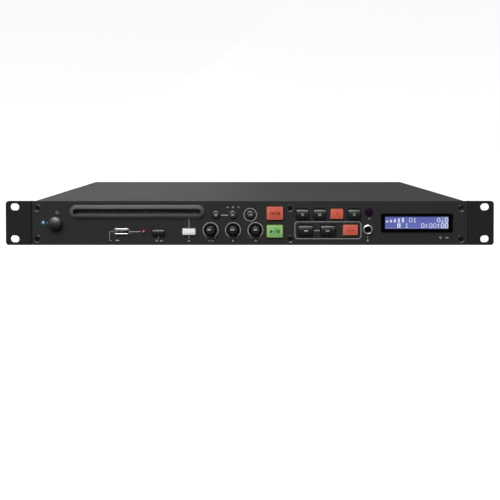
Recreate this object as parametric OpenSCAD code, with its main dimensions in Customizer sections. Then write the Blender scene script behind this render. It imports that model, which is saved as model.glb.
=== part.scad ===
// Slot-loading disc player, one rack unit high, for a 19-inch rack or a table.
// The front faces -Y, +Z is up, and the origin is the middle of the base.

/* [Housing] */
// Width of the front panel and of the cover
body_w = 430; // [424:0.5:436]
// Depth from the front of the panel to the back of the cover
body_depth = 250; // [244:1:300]
// Height of the front panel
panel_h = 43.6; // [43.2:0.1:44.4]
// Thickness of the front panel
panel_t = 2; // [1.6:0.1:2.6]
// How far the panel stands above the cover
panel_step = 0.4; // [0.2:0.1:0.8]
// Thickness of the steel sheet in the tray and the cover
sheet_t = 1.2; // [0.8:0.1:1.4]
// Outer radius of the cover's bends
bend_r = 1.8; // [1.6:0.1:2.4]
// Width of the cover's rear side flanges
flange_w = 10.7; // [9:0.1:11]
// Height of the cover's rear top band
band_h = 3; // [2.6:0.1:4]
// Height of the screw tabs below the cover's top
tab_drop = 8.7; // [8:0.1:9]

/* [Rack ears] */
// How far an ear reaches beyond the front panel
ear_w = 26.3; // [25:0.1:27]
// Thickness of an ear
ear_t = 2.5; // [2:0.1:3]
// Length of an ear's leg along the side
ear_leg = 34; // [30:1:44]
// How much lower the leg is than the ear, at each end
leg_step = 3.4; // [2:0.1:5]
// Outer corner radius of an ear
ear_corner_r = 3; // [2:0.1:3.5]
// Distance from a slot's centre to the ear's outer end
slot_in = 8.75; // [8.4:0.05:9.2]
// Distance between the slot centres up the ear
slot_pitch_z = 31.75; // [31:0.05:32]
// Length of a rack slot
rack_slot_l = 9.2; // [8:0.1:10]
// Height of a rack slot
rack_slot_h = 7.1; // [6.4:0.1:7.4]

/* [Disc slot] */
// Middle of the disc slot, across and up
slot_at = [-111.3, 32.95]; // [-115:0.05:35]
// Width of the disc slot
slot_w = 125.6; // [125:0.1:127]
// Height of the disc slot
slot_h = 5.3; // [5.1:0.1:5.6]
// Width of the raised rim round the slot
rim_w = 4.1; // [3.4:0.1:4.4]
// Height of the rim in front of the panel
rim_proud = 2.2; // [1.5:0.1:3]
// Thickness of the felt on the slot's lips
felt_t = 0.4; // [0.3:0.05:0.5]

/* [Keys] */
// How far the keys stand in front of the panel
key_proud = 1.8; // [1.4:0.1:2.4]
// Travel of a key
key_travel = 1; // [0.6:0.1:1.2]
// Gap round a key in its hole
key_gap = 0.3; // [0.2:0.05:0.4]
// Middle of the cue key
cue_at = [24.7, 31.5]; // [24:0.1:32]
// Size of the cue key
cue_size = [16.2, 13.2]; // [12.6:0.1:16.6]
// Middle of the play key
play_at = [24.7, 13.6]; // [13:0.1:25]
// Size of the play key
play_size = [15.8, 12.5]; // [12:0.1:16.2]
// Middle of the first key in the upper row
upper_at = [51.9, 30.9]; // [30:0.1:52.4]
// Size of the upper row's keys
upper_size = [12.4, 10.2]; // [9.6:0.1:12.6]
// Distance between the upper row's keys
upper_pitch = 17.03; // [16.6:0.01:17.2]
// Middle of the first key in the lower row
lower_at = [55.1, 14.8]; // [14:0.1:55.6]
// Size of the lower row's keys
lower_size = [14.6, 10.6]; // [10:0.1:15]
// Distance between the lower row's keys
lower_pitch = 22.1; // [21.6:0.1:22.2]
// Middle of the source key
source_at = [-90.4, 12.5]; // [-91:0.1:14]
// Size of the source key
source_size = [12.3, 6.5]; // [6:0.1:13]
// Middle of the eject key
eject_at = [-60.2, 13.2]; // [-61:0.1:14]
// Size of the eject key
eject_size = [12.9, 6.6]; // [6:0.1:13.4]
// Radius of the three round skip keys
skip_r = 3.9; // [3.4:0.1:4.2]
// Middles of the round keys across the panel
skip_x = [-33.6, -16.9, 0.4]; // [-34:0.1:1]
// Height of the round keys' middles
skip_z = 30.1; // [29.4:0.1:31]
// Middle of the power button
power_at = [-192.3, 21.3]; // [-193:0.1:22]
// Radius of the power button
power_r = 6.9; // [6.4:0.1:7.2]
// How far the power button stands in front of the panel
power_proud = 6; // [4:0.1:7]
// Travel of the power button
power_travel = 3; // [2:0.1:3.2]

/* [Knobs] */
// Middle of the first level knob
knob_at = [-38.8, 14.9]; // [-39:0.1:15.4]
// Distance between the knobs
knob_pitch = 22.2; // [21.8:0.1:22.4]
// Radius of a knob
knob_r = 4.3; // [3.8:0.1:4.6]
// Radius of the hole that a knob sits in
knob_hole_r = 6; // [5.6:0.1:6.2]
// How far a knob stands in front of the panel
knob_proud = 4.5; // [3:0.1:6]

/* [Display and sockets] */
// Middle of the display
display_at = [165.1, 22]; // [21:0.1:166]
// Outer size of the display's bezel
bezel_size = [70.6, 18.3]; // [17.8:0.1:71]
// Size of the display's glass
glass_size = [62.8, 12]; // [11.6:0.1:63.2]
// Middle of the remote control window
remote_at = [117.7, 32.6]; // [32:0.1:118]
// Radius of the remote control window
remote_r = 4.4; // [4:0.1:4.6]
// Middle of the microphone jack
mic_at = [116.7, 15.2]; // [15:0.1:117]
// Radius of a 6.35 mm plug's bore
jack_r = 3.2; // [3.18:0.01:3.3]
// Radius of the microphone jack's ring nut
nut_r = 5; // [4.8:0.1:5.4]
// Middle of the USB socket
usb_at = [-126.7, 13.6]; // [-127:0.1:14]
// Inner size of the USB socket
usb_size = [12.5, 5.12]; // [5.1:0.02:12.6]
// Middle of the power lamp
power_lamp_at = [-204, 22.1]; // [-204.4:0.1:23]
// Middle of the USB lamp
usb_lamp_at = [-105, 13.2]; // [-106:0.1:14]
// Radius of a lamp
lamp_r = 1.5; // [1.4:0.05:1.6]

/* [Rear connectors] */
// Middle of the first phono socket's column and row
rca_at = [157.1, 16.9]; // [16:0.1:158]
// Distance between the phono sockets, across and up
rca_pitch = [15.1, 14.4]; // [14:0.1:15.4]
// Outer radius of a phono socket's barrel
rca_r = 4.15; // [4:0.05:4.3]
// Radius of a phono socket's centre hole
rca_hole_r = 1.6; // [1.55:0.05:1.7]
// How far a phono socket stands behind the cover
rca_proud = 8; // [6:0.1:9]
// Middles of the two three-pin outputs across the back
xlr_x = [100.4, 131.2]; // [100:0.1:132]
// Height of the three-pin outputs' middles
xlr_z = 22.9; // [22.4:0.1:23.4]
// Radius of a three-pin connector's collar
xlr_r = 11; // [10.8:0.1:11.2]
// Radius of a three-pin connector's cavity
xlr_cavity_r = 8.3; // [8.2:0.1:8.4]
// Middle of the combination jack
combo_at = [68.7, 23.7]; // [23:0.1:69]
// Radius of the combination jack's collar
combo_r = 11.4; // [11.2:0.1:11.6]
// Middle of the jack's release tab
latch_at = [69.8, 36]; // [35.6:0.1:70]
// Size of the jack's release tab
latch_size = [10.2, 5.9]; // [5.4:0.1:10.4]
// Travel of the release tab
latch_travel = 1.2; // [0.8:0.1:1.4]
// Middle of the mains inlet
inlet_at = [-186.3, 21.4]; // [-187:0.1:22]
// Outer size of the mains inlet
inlet_size = [20, 11.4]; // [11:0.1:20.6]
// Distance between the mains pins
mains_pitch = 8.6; // [8.4:0.1:8.8]

/* [Loader] */
// Width of the loader's frame
loader_w = 140; // [138:0.5:141]
// Disc diameter that the loader takes
disc_d = 120; // [118:1:120]
// Distance from the panel's front to the spindle
spindle_back = 77; // [76:0.5:79]
// Height that the disc unit rises to meet the disc
lift = 4.9; // [4.4:0.1:5]
// Travel of the laser sled
sled_travel = 34; // [30:0.5:35]
// Radius of the feed roller at its ends
roller_r = 4; // [3.6:0.1:4.1]
// Tooth module of the loading gears
tooth_m = 0.5; // [0.4:0.05:0.5]

/* [Hidden] */
$fn = 48;
eps = 0.01; // Length by which a cut runs past the face that it opens
play = 0.3; // Usual clearance between loose pieces
running = 0.05; // Radial clearance of a shaft in its bearing

// Planes of the housing
rack_w = body_w + 2 * ear_w;
slot_pitch_x = rack_w - 2 * slot_in;
front_y = -body_depth / 2;
rear_y = body_depth / 2;
panel_back = front_y + panel_t;
cover_top = panel_h - panel_step;
cover_under = cover_top - sheet_t;
cover_foot = 0.4;
wall_out = rear_y - sheet_t;
wall_in = wall_out - sheet_t;
sheet_gap = 0.2;
tray_x = body_w / 2 - sheet_t - sheet_gap;
tray_top = cover_under - sheet_gap;

// Screws
screw_r = 1.5;
screw_hole_r = screw_r + 0.2;
screw_l = 6;
head_r = 2.9;
head_h = 1.6;
cross_w = 0.8;
cross_l = 3.2;
panel_screw_x = [-body_w / 2 + 5, 39.7, body_w / 2 - 6];
panel_screw_z = [5.8, panel_h - 7.2];
cover_screw_x = [-190.5, -57.8, 54.5, 190.3];
cover_screw_z = cover_top - 3.9;
tab_half_w = [214, 9, 9, 214];
corner_tab_w = 29;
low_screw_x = body_w / 2 - 6;
low_screw_z = 6.1;
ear_screw_y = [front_y + 14, front_y + 27];
ear_screw_z = panel_h / 2;
ear_screw_spread = 10;

// Front tabs of the tray, which the panel is screwed to
end_tab_w = 7.6;
mid_tab_w = 9.2;

// Circuit board behind the panel, and what stands on it
board_t = 1.6;
board_y = panel_back + 8;
board_low = 3;
board_step_z = 23;
board_step_x = -37;
board_x = [-150, 204];
stud_r = 1.8;
stud_at = [[-146, 18], [-75, 5.5], [12.7, 22.5], [124.6, 25.6]];
key_lip_t = 1;
key_lip_w = 1;
key_corner_r = 0.9;
key_edge = 0.5;
stem_r = 1.25;
switch_w = 6;
switch_depth = 3.5;
stem_in = 1.5;
switch_bore = stem_in + key_travel + play;
stem_end = board_y - switch_depth + stem_in;

// Knobs
shaft_r = 3;
pot_size = [9.8, 10.6];
pot_depth = 6;
skirt_r = knob_hole_r - 0.5;
skirt_t = 0.9;
flute_n = 12;
flute_r = 0.45;

// Bare metal collars and sockets
connector_back = wall_in - 23;
collar_y = rear_y + 0.6;
dsize = [26, 31];
dsize_screw = [9.5, 11.9];
flange_t = 2;
pin_r = 1.2;
pin_circle_r = 3.5;
xlr_floor = collar_y - 15.5;
insert_r = 7.4;
groove_r = 9.4;
inlet_screw_x = 13.9;
inlet_floor = rear_y - 13;

// Boards inside the case
post_r = 2.6;
board_z = 8;
main_x = [-20, 200];
main_y = [front_y + 55, rear_y - 55];
supply_x = [inlet_at[0] - 21.7, inlet_at[0] + 58.3];
supply_y = [rear_y - 79, rear_y - 7];
post_in = 6;
audio_low = 4;
audio_gap = 2;
chip_n = 3;
chip_w = 20;
chip_h = 2;
chip_in = 40;
chip_pitch = 48;
chip_y = -12;
can_n = 5;
can_r = 4;
can_h = 12;
can_in = 24;
can_pitch = 20;
can_y = 44;
big_can_r = 8;
big_can_h = 24;
coil_size = [24, 20, 19];
fin_n = 6;
fin_t = 1.6;
fin_l = 18;
fin_h = 16;
fin_pitch = 5;

// Loader: levels, from the tray's floor up
slot_x = slot_at[0];
slot_z = slot_at[1];
loader_t = 1.2;
deck_top = slot_z - slot_h / 2 - 0.1;
deck_low = deck_top - loader_t;
loader_front = panel_back + 4.3;
loader_low_front = front_y + 21;
loader_rear = front_y + spindle_back + disc_d / 2 + 24;
loader_high = cover_under - 4;
wall_x = loader_w / 2 - loader_t;
foot_w = 12;
foot_l = 14;
foot_back = 40;
front_foot_l = 8;
wall_drop = 3;
wall_cut = 3;
top_hole_r = 12;
top_hole_at = [0.3 * loader_w, 52];
spindle_y = front_y + spindle_back;

// Loader: clamp
puck_low = slot_z + 1.95;
puck_r = 14.5;
puck_neck_r = 9.5;
puck_eye_r = 8.2;
puck_cap_r = 12.5;
puck_flange_t = 2;
puck_eye_h = 2.6;

// Loader: feed roller and its gears, on a carriage that tilts on two pivots
roller_teeth = 28;
pinion_teeth = 12;
roller_y = front_y + 20;
roller_z = deck_top - roller_r + 0.1;
roller_half = loader_w / 2 - 9;
roller_waist = 0.6;
roller_shaft_r = 1.5;
arm_x = loader_w / 2 - 6;
arm_t = 1.2;
gear_x = arm_x + arm_t + 0.5;
gear_w = 2;
gear_tip = tooth_m * roller_teeth / 2 + 0.85 * tooth_m;
gear_gap = 0.7;
gear_centres = tooth_m * (roller_teeth + pinion_teeth) / 2;
motor_angle = -55;
pinion_y = roller_y + gear_centres * cos(motor_angle);
pinion_z = roller_z + gear_centres * sin(motor_angle);
pivot_y = roller_y + 17;
pivot_z = roller_z - 2;
pivot_r = 1.2;
motor_r = 5.5;
motor_l = 20;
pinion_shaft_r = 0.75;
pinion_bore = 4;
roller_gap = 1.2;
arm_gap = 0.4;
arm_r = 3;
arm_motor_r = 3.4;
arm_cut = 6;
bridge_y = [-4, 3];
bridge_drop = 3.4;

// Loader: disc unit, which the cam slider lifts by its four pins
plate_top = deck_top - 11.4;
plate_low = plate_top - loader_t;
plate_x = loader_w / 2 - 14;
plate_y = [spindle_y - 28, spindle_y + 76];
lug_y = [spindle_y - 22, spindle_y + 68];
lug_z = plate_top + 2.2;
lug_half = 3.5;
lift_pin_r = 1.2;
pin_gap = 0.15;
cam_x = wall_x - sheet_gap - loader_t;
cam_y = [lug_y[0] - 12, lug_y[1] + 8];
cam_z = [lug_z - 9, lug_z + 7];
bar_z = cam_z[0] + 4;
bar_in = 2;
motor_h = 5.6;
spindle_motor_r = 12.5;
spindle_shaft_r = 1;
table_r = 14;
table_top = deck_top - 1.6;
table_t = 2;
cone_r = 7.4;
cone_top = deck_top + 0.2;
cone_taper = 0.8;
hub_r = 4;
table_gap = 3;
table_shaft_low = 1.4;
rod_x = 20;
rod_z = plate_top + 2.7;
rod_r = 1.5;
rod_block = [6, 4, 4.6];
sled_w = 47;
sled_l = 18;
rod_front = spindle_y + 14;
rod_y = [rod_front, rod_front + 2 * (rod_block[1] + play) + sled_l + sled_travel];
sled_front = rod_y[0] + rod_block[1] + play;
sled_low = plate_top + 0.6;
sled_high = sled_low + 6.4;
screw_x = 29;
nut_y = [4, 13];
nut_half = 4;
lead_r = 1.5;
sled_motor = [10, 5, 7];
sled_motor_in = 1;
lead_rest = [6, 3, 5];
lead_end = 2.2;
lead_start = 0.8;
sled_gap = 4;
lens_r = 3;
lens_y = 5;
lens_rim = 1.4;

// Front fittings
spigot_t = 1.5;
spigot_l = 2;
bezel_proud = 0.8;
case_size = [76, 26];
bushing_r = 4.3;
mic_case = 12;
mic_depth = 24;
usb_depth = 16;
usb_margin = [1.3, 1.2];
usb_cut_r = 2.4;
usb_tongue = [11.1, 1.84];
usb_tongue_up = 0.9;
lip_flare = 28;
lip_l = 1.3;
switch_plate_back = 8.2;
power_dome = 3.4;
power_stem_r = 2.5;
power_stem_l = 15;
power_case = 14;
shaft_l = 5.5;
pot_bore = 4;
rca_wall = 0.75;
rca_collar_w = 0.9;
rca_collar_l = 2;
rca_block_edge = [8, 8];
latch_end = wall_in - 10;

// ---- Outlines and solids that several pieces share ----

// A flat outline in X and Z, made thick from y0 back to y1
module slab_y(y0, y1) {
    translate([0, y1, 0]) rotate([90, 0, 0]) linear_extrude(y1 - y0) children();
}

// A round bar along Y
module rod_y(r, y0, y1, at) {
    translate([at[0], y1, at[1]]) rotate([90, 0, 0]) cylinder(h = y1 - y0, r = r);
}

// A round bar along X
module rod_x(r, x0, x1, y, z) {
    translate([x0, y, z]) rotate([0, 90, 0]) cylinder(h = x1 - x0, r = r);
}

// A box between two corners
module block(low, high) {
    translate(low) cube(high - low);
}

// A rectangle with round corners, about its middle
module round_rect(size, r) {
    square([size[0] - 2 * r, size[1]], center = true);
    square([size[0], size[1] - 2 * r], center = true);
    for (sx = [-1, 1], sy = [-1, 1])
        translate([sx * (size[0] / 2 - r), sy * (size[1] / 2 - r)]) circle(r);
}

// A slot with full-round ends, about its middle
module stadium(w, h) {
    square([w - h, h], center = true);
    for (s = [-1, 1]) translate([s * (w - h) / 2, 0]) circle(h / 2);
}

// A screw with its axis along Z, its head above z = 0 and a cross in the head
module pan_screw(length) {
    difference() {
        union() {
            translate([0, 0, -length]) cylinder(h = length, r = screw_r);
            cylinder(h = head_h / 2, r = head_r);
            translate([0, 0, head_h / 2])
                cylinder(h = head_h / 2, r1 = head_r, r2 = head_r * 0.75);
        }
        screw_cross(head_h);
    }
}

// A countersunk screw, its flat head flush with z = 0
module flat_screw(length) {
    difference() {
        union() {
            translate([0, 0, -length]) cylinder(h = length, r = screw_r);
            translate([0, 0, screw_r - head_r])
                cylinder(h = head_r - screw_r, r1 = screw_r, r2 = head_r);
        }
        screw_cross(0);
    }
}

module screw_cross(top) {
    for (turn = [0, 90])
        rotate(turn) translate([-cross_l / 2, -cross_w / 2, top - 1])
            cube([cross_l, cross_w, 1 + eps]);
}

// ---- Housing ----

module chassis() {
    color([0.13, 0.13, 0.14]) difference() {
        union() {
            block([-tray_x, panel_back, 0], [tray_x, wall_in, sheet_t]);
            for (s = [0, 1]) mirror([s, 0, 0]) {
                block([tray_x - sheet_t, panel_back, 0], [tray_x, wall_in, tray_top]);
                block([tray_x - end_tab_w, panel_back, 0], [tray_x, panel_back + sheet_t, tray_top]);
            }
            block([panel_screw_x[1] - mid_tab_w / 2, panel_back, 0],
                  [panel_screw_x[1] + mid_tab_w / 2, panel_back + sheet_t, tray_top]);
        }
        for (x = panel_screw_x, z = panel_screw_z)
            rod_y(screw_hole_r, panel_back - 1, panel_back + sheet_t + 1, [x, z]);
        ear_screw_holes();
    }
}

// The tray's rear wall, with an opening for each connector
module rear_panel() {
    color([0.13, 0.13, 0.14]) difference() {
        block([-tray_x, wall_in, 0], [tray_x, wall_out, tray_top]);
        rear_cuts();
    }
}

// Hexagonal posts that hold a board off the floor, one near each of its corners
module board_posts(x_range, y_range) {
    for (x = [x_range[0] + post_in, x_range[1] - post_in],
         y = [y_range[0] + post_in, y_range[1] - post_in])
        translate([x, y, sheet_t]) cylinder(h = board_z - sheet_t + eps, r = post_r, $fn = 6);
}

module ear_screw_holes() {
    for (s = [-1, 1], y = ear_screw_y, dz = [-1, 1])
        translate([s * (body_w / 2 - 4), y, ear_screw_z + dz * ear_screw_spread])
            rotate([0, s * 90, 0]) cylinder(h = 12, r = screw_hole_r);
}

// Openings of the rear wall
module rear_cuts() {
    y0 = wall_in - 1;
    y1 = wall_out + 1;
    for (i = [0, 1], j = [0, 1])
        rod_y(rca_r + play, y0, y1, [rca_at[0] + i * rca_pitch[0], rca_at[1] + j * rca_pitch[1]]);
    for (x = xlr_x) {
        rod_y(xlr_r + play, y0, y1, [x, xlr_z]);
        dsize_holes([x, xlr_z], y0, y1);
    }
    rod_y(combo_r + play, y0, y1, combo_at);
    dsize_holes(combo_at, y0, y1);
    slab_y(y0, y1) translate(latch_at) square(latch_size + [play, play] * 2, center = true);
    slab_y(y0, y1) translate(inlet_at) round_rect(inlet_size + [play, play] * 2, 3);
    for (s = [-1, 1])
        rod_y(screw_hole_r, y0, y1, [inlet_at[0] + s * inlet_screw_x, inlet_at[1]]);
    for (x = cover_screw_x) rod_y(screw_hole_r, y0, y1, [x, cover_screw_z]);
    for (s = [-1, 1]) rod_y(screw_hole_r, y0, y1, [s * low_screw_x, low_screw_z]);
}

module dsize_holes(at, y0, y1) {
    for (s = [-1, 1]) rod_y(screw_hole_r, y0, y1, at + s * dsize_screw);
}

// The cover's section across the case, drawn in X and Z
module cover_section(inset) {
    w = body_w - 2 * inset;
    top = cover_top - inset;
    r = bend_r - inset;
    translate([-w / 2, cover_foot - (inset > 0 ? 1 : 0)])
        square([w, top - r - cover_foot + (inset > 0 ? 1 : 0)]);
    translate([-w / 2 + r, top - r - eps]) square([w - 2 * r, r + eps]);
    for (s = [-1, 1]) translate([s * (w / 2 - r), top - r]) circle(r);
}

module top_cover() {
    color([0.24, 0.24, 0.245]) difference() {
        union() {
            slab_y(panel_back, rear_y) difference() {
                cover_section(0);
                cover_section(sheet_t);
            }
            slab_y(wall_out, rear_y) intersection() {
                cover_section(0);
                rear_flange();
            }
        }
        for (x = cover_screw_x)
            rod_y(screw_hole_r, wall_out - 1, rear_y + 1, [x, cover_screw_z]);
        for (s = [-1, 1])
            rod_y(screw_hole_r, wall_out - 1, rear_y + 1, [s * low_screw_x, low_screw_z]);
        ear_screw_holes();
    }
}

module rear_flange() {
    half = body_w / 2;
    for (s = [-1, 1]) {
        translate([s * (half - flange_w / 2), cover_top / 2])
            square([flange_w, cover_top], center = true);
        translate([s * (half - corner_tab_w / 2), cover_top - tab_drop / 2])
            square([corner_tab_w, tab_drop], center = true);
    }
    translate([0, cover_top - band_h / 2]) square([body_w, band_h], center = true);
    for (x = [cover_screw_x[1], cover_screw_x[2]])
        translate([x, cover_top - tab_drop / 2]) square([2 * tab_half_w[1], tab_drop], center = true);
}

module front_panel() {
    color([0.15, 0.15, 0.16]) {
        difference() {
            slab_y(front_y, panel_back) difference() {
                translate([0, panel_h / 2]) round_rect([body_w, panel_h], 0.6);
                panel_cuts();
            }
            for (x = panel_screw_x, z = panel_screw_z)
                translate([x, front_y, z]) rotate([90, 0, 0])
                    translate([0, 0, screw_r - head_r - running])
                        cylinder(h = head_r - screw_r + 2 * running, r1 = screw_r, r2 = head_r + running);
        }
        for (at = stud_at) rod_y(stud_r, panel_back - eps, board_y, at);
    }
}

// Every hole of the front panel
module panel_cuts() {
    translate(slot_at) stadium(slot_w + 2 * spigot_t + 2 * running, slot_h + 2 * spigot_t + 2 * running);
    translate(display_at) round_rect(bezel_size + [play, play], 1);
    translate(usb_at) round_rect(usb_size + usb_margin * 2, usb_cut_r);
    translate(remote_at) circle(remote_r + running);
    translate(mic_at) circle(bushing_r + running);
    translate(power_at) circle(power_r + key_gap + 0.1);
    for (at = [power_lamp_at, usb_lamp_at]) translate(at) circle(lamp_r + 0.1);
    for (i = [0:2]) {
        translate([knob_at[0] + i * knob_pitch, knob_at[1]]) circle(knob_hole_r);
        translate([skip_x[i], skip_z]) circle(skip_r + key_gap);
        key_hole([lower_at[0] + i * lower_pitch, lower_at[1]], lower_size);
    }
    for (i = [0:3]) key_hole([upper_at[0] + i * upper_pitch, upper_at[1]], upper_size);
    key_hole(cue_at, cue_size);
    key_hole(play_at, play_size);
    key_hole(source_at, source_size);
    key_hole(eject_at, eject_size);
    for (x = panel_screw_x, z = panel_screw_z) translate([x, z]) circle(screw_hole_r);
}

module key_hole(at, size) {
    translate(at) round_rect(size + [key_gap, key_gap] * 2, key_corner_r + key_gap);
}

// The right ear: an L of thick sheet with two rack slots; the left one mirrors it
module rack_ear_right() {
    x0 = body_w / 2;
    x1 = rack_w / 2;
    leg_y = front_y + ear_leg;
    color([0.14, 0.14, 0.15]) difference() {
        intersection() {
            linear_extrude(panel_h) ear_section(x0, x1, leg_y);
            union() {
                slab_y(front_y - 1, front_y + ear_t + 1) ear_outline(x0, x1);
                block([x0 - 1, front_y + ear_t, leg_step], [x1 + 1, leg_y + 1, panel_h - leg_step]);
            }
        }
        for (s = [-1, 1])
            slab_y(front_y - 1, front_y + ear_t + 1)
                translate([slot_pitch_x / 2, panel_h / 2 + s * slot_pitch_z / 2])
                    stadium(rack_slot_l, rack_slot_h);
        ear_screw_holes();
    }
}

// The ear seen from above, with its bend at the panel's end
module ear_section(x0, x1, leg_y) {
    outer = ear_t + 0.5;
    inner = 0.5;
    difference() {
        union() {
            translate([x0 + outer, front_y]) square([x1 - x0 - outer, ear_t]);
            translate([x0, front_y + outer]) square([ear_t, leg_y - front_y - outer]);
            intersection() {
                translate([x0 + outer, front_y + outer]) circle(outer);
                translate([x0, front_y]) square(outer + eps);
            }
        }
        translate([x0 + outer, front_y + outer]) circle(inner);
    }
}

// The ear seen from the front, round at its outer corners
module ear_outline(x0, x1) {
    r = ear_corner_r;
    translate([x0 - 1, 0]) square([x1 - x0 + 1 - r, panel_h]);
    translate([x1 - r - eps, r]) square([r + eps, panel_h - 2 * r]);
    for (z = [r, panel_h - r]) translate([x1 - r, z]) circle(r);
}

module rack_ear_left() {
    mirror([1, 0, 0]) rack_ear_right();
}

module panel_screws() {
    color([0.08, 0.08, 0.09]) for (x = panel_screw_x, z = panel_screw_z)
        translate([x, front_y, z]) rotate([90, 0, 0]) flat_screw(screw_l);
}

// Screws of the cover and of the ears
module case_screws() {
    color([0.2, 0.2, 0.21]) {
        for (x = cover_screw_x)
            translate([x, rear_y, cover_screw_z]) rotate([-90, 0, 0]) pan_screw(screw_l);
        for (s = [-1, 1])
            translate([s * low_screw_x, rear_y, low_screw_z]) rotate([-90, 0, 0]) pan_screw(screw_l);
        for (s = [-1, 1], y = ear_screw_y, dz = [-1, 1])
            translate([s * (body_w / 2 + ear_t), y, ear_screw_z + dz * ear_screw_spread])
                rotate([0, s * 90, 0]) pan_screw(screw_l + ear_t);
    }
}

module connector_screws() {
    color([0.16, 0.16, 0.17]) {
        for (at = [[xlr_x[0], xlr_z], [xlr_x[1], xlr_z], combo_at], s = [-1, 1])
            rear_screw(at + s * dsize_screw);
        for (s = [-1, 1]) rear_screw([inlet_at[0] + s * inlet_screw_x, inlet_at[1]]);
    }
}

module rear_screw(at) {
    translate([at[0], wall_out, at[1]]) rotate([-90, 0, 0]) pan_screw(sheet_t + flange_t);
}

// ---- Front: bezels, lamps and sockets ----

// The rim's section: r is the distance from the slot's middle, h the height in front of the panel
module rim_section() {
    inner = slot_h / 2;
    arc = [for (i = [0:10]) let (a = i * 18)
        [inner + rim_w * (1 - cos(a)) / 2, rim_proud * sin(a)]];
    polygon(concat(arc, [
        [inner + spigot_t, 0],
        [inner + spigot_t, -panel_t - spigot_l],
        [inner, -panel_t - spigot_l],
    ]));
}

module slot_bezel() {
    run = slot_w - slot_h;
    color([0.3, 0.3, 0.31]) translate([slot_x, front_y, slot_z]) rotate([90, 0, 0]) {
        for (s = [0, 1]) mirror([s, 0, 0]) translate([run / 2, 0, 0])
            rotate([0, 0, -90]) rotate_extrude(angle = 180) rim_section();
        for (s = [0, 1]) mirror([0, s, 0]) translate([-run / 2, 0, 0])
            rotate([90, 0, 90]) linear_extrude(run) rim_section();
    }
}

// Felt strips on the upper and lower lips
module slot_felt() {
    run = slot_w - slot_h;
    color([0.06, 0.06, 0.06]) for (s = [-1, 1])
        slab_y(front_y - 0.6, panel_back + spigot_l)
            translate([slot_x, slot_z + s * (slot_h - felt_t) / 2]) square([run, felt_t], center = true);
}

module display_bezel() {
    color([0.04, 0.04, 0.05]) slab_y(front_y - bezel_proud, panel_back + 1)
        translate(display_at) difference() {
            round_rect(bezel_size, 1);
            square(glass_size, center = true);
        }
}

// The display's case, with the glass that fills the bezel's window
module display_module() {
    color([0.3, 0.32, 0.75]) union() {
        slab_y(panel_back + 1, board_y) translate(display_at) square(case_size, center = true);
        slab_y(front_y + 0.4, panel_back + 1 + eps)
            translate(display_at) square(glass_size - [play, play], center = true);
    }
}

module remote_window() {
    color([0.18, 0.08, 0.2]) {
        rod_y(remote_r, front_y - 0.4, panel_back + 1, remote_at);
        rod_y(3, panel_back + 1 - eps, board_y, remote_at);
    }
}

// A lamp with a round front, long enough to reach what it stands on
module lamp(at, back) {
    rod_y(lamp_r, front_y - 0.2, back, at);
    translate([at[0], front_y - 0.2, at[1]]) sphere(lamp_r);
}

module power_lamp() {
    color([0.45, 0.75, 0.85]) lamp(power_lamp_at, front_y + switch_plate_back);
}

module usb_lamp() {
    color([0.75, 0.1, 0.08]) lamp(usb_lamp_at, board_y);
}

module mic_jack() {
    color([0.8, 0.8, 0.82]) difference() {
        union() {
            rod_y(nut_r, front_y - 1.6, front_y, mic_at);
            rod_y(bushing_r, front_y - eps, panel_back + eps, mic_at);
            slab_y(panel_back, front_y + mic_depth) translate(mic_at) square(mic_case, center = true);
        }
        rod_y(jack_r, front_y - 2, front_y + mic_depth - 2, mic_at);
    }
}

module usb_socket() {
    outer = usb_size + [0.6, 0.6];
    color([0.75, 0.75, 0.77]) {
        difference() {
            slab_y(front_y - 0.4, front_y + usb_depth) translate(usb_at) square(outer, center = true);
            slab_y(front_y - 1, front_y + usb_depth - 1) translate(usb_at) square(usb_size, center = true);
        }
        slab_y(front_y + 1, front_y + usb_depth - 1 + eps)
            translate(usb_at + [0, usb_tongue_up]) square(usb_tongue, center = true);
        for (s = [0, 1]) translate([usb_at[0], front_y, usb_at[1]]) mirror([0, 0, s])
            translate([-usb_size[0] / 2 + 0.6, -0.4, usb_size[1] / 2]) rotate([-lip_flare, 0, 0])
                translate([0, -lip_l, 0]) cube([usb_size[0] - 1.2, lip_l + 0.1, 0.3]);
    }
}

// ---- Front: knobs ----

// A fluted knob with a pointer groove, on its shaft
module knob(i) {
    at = [knob_at[0] + i * knob_pitch, knob_at[1]];
    translate([at[0], front_y, at[1]]) rotate([90, 0, 0]) difference() {
        union() {
            translate([0, 0, -0.4]) cylinder(h = skirt_t, r = skirt_r);
            cylinder(h = knob_proud - 0.6, r = knob_r);
            translate([0, 0, knob_proud - 0.6]) cylinder(h = 0.6, r1 = knob_r, r2 = knob_r - 0.6);
            translate([0, 0, -panel_t - shaft_l]) cylinder(h = panel_t + shaft_l, r = shaft_r);
        }
        for (k = [0:flute_n - 1]) rotate(k * 360 / flute_n + 15)
            translate([knob_r + 0.1, 0, 1]) cylinder(h = knob_proud, r = flute_r);
        translate([-0.4, 0, knob_proud - 0.5]) cube([0.8, knob_r + 1, 1]);
    }
}

module pitch_knob() {
    color([0.1, 0.1, 0.1]) knob(0);
}

module mic_knob() {
    color([0.1, 0.1, 0.1]) knob(1);
}

module master_knob() {
    color([0.1, 0.1, 0.1]) knob(2);
}

// ---- Front: keys ----

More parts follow.
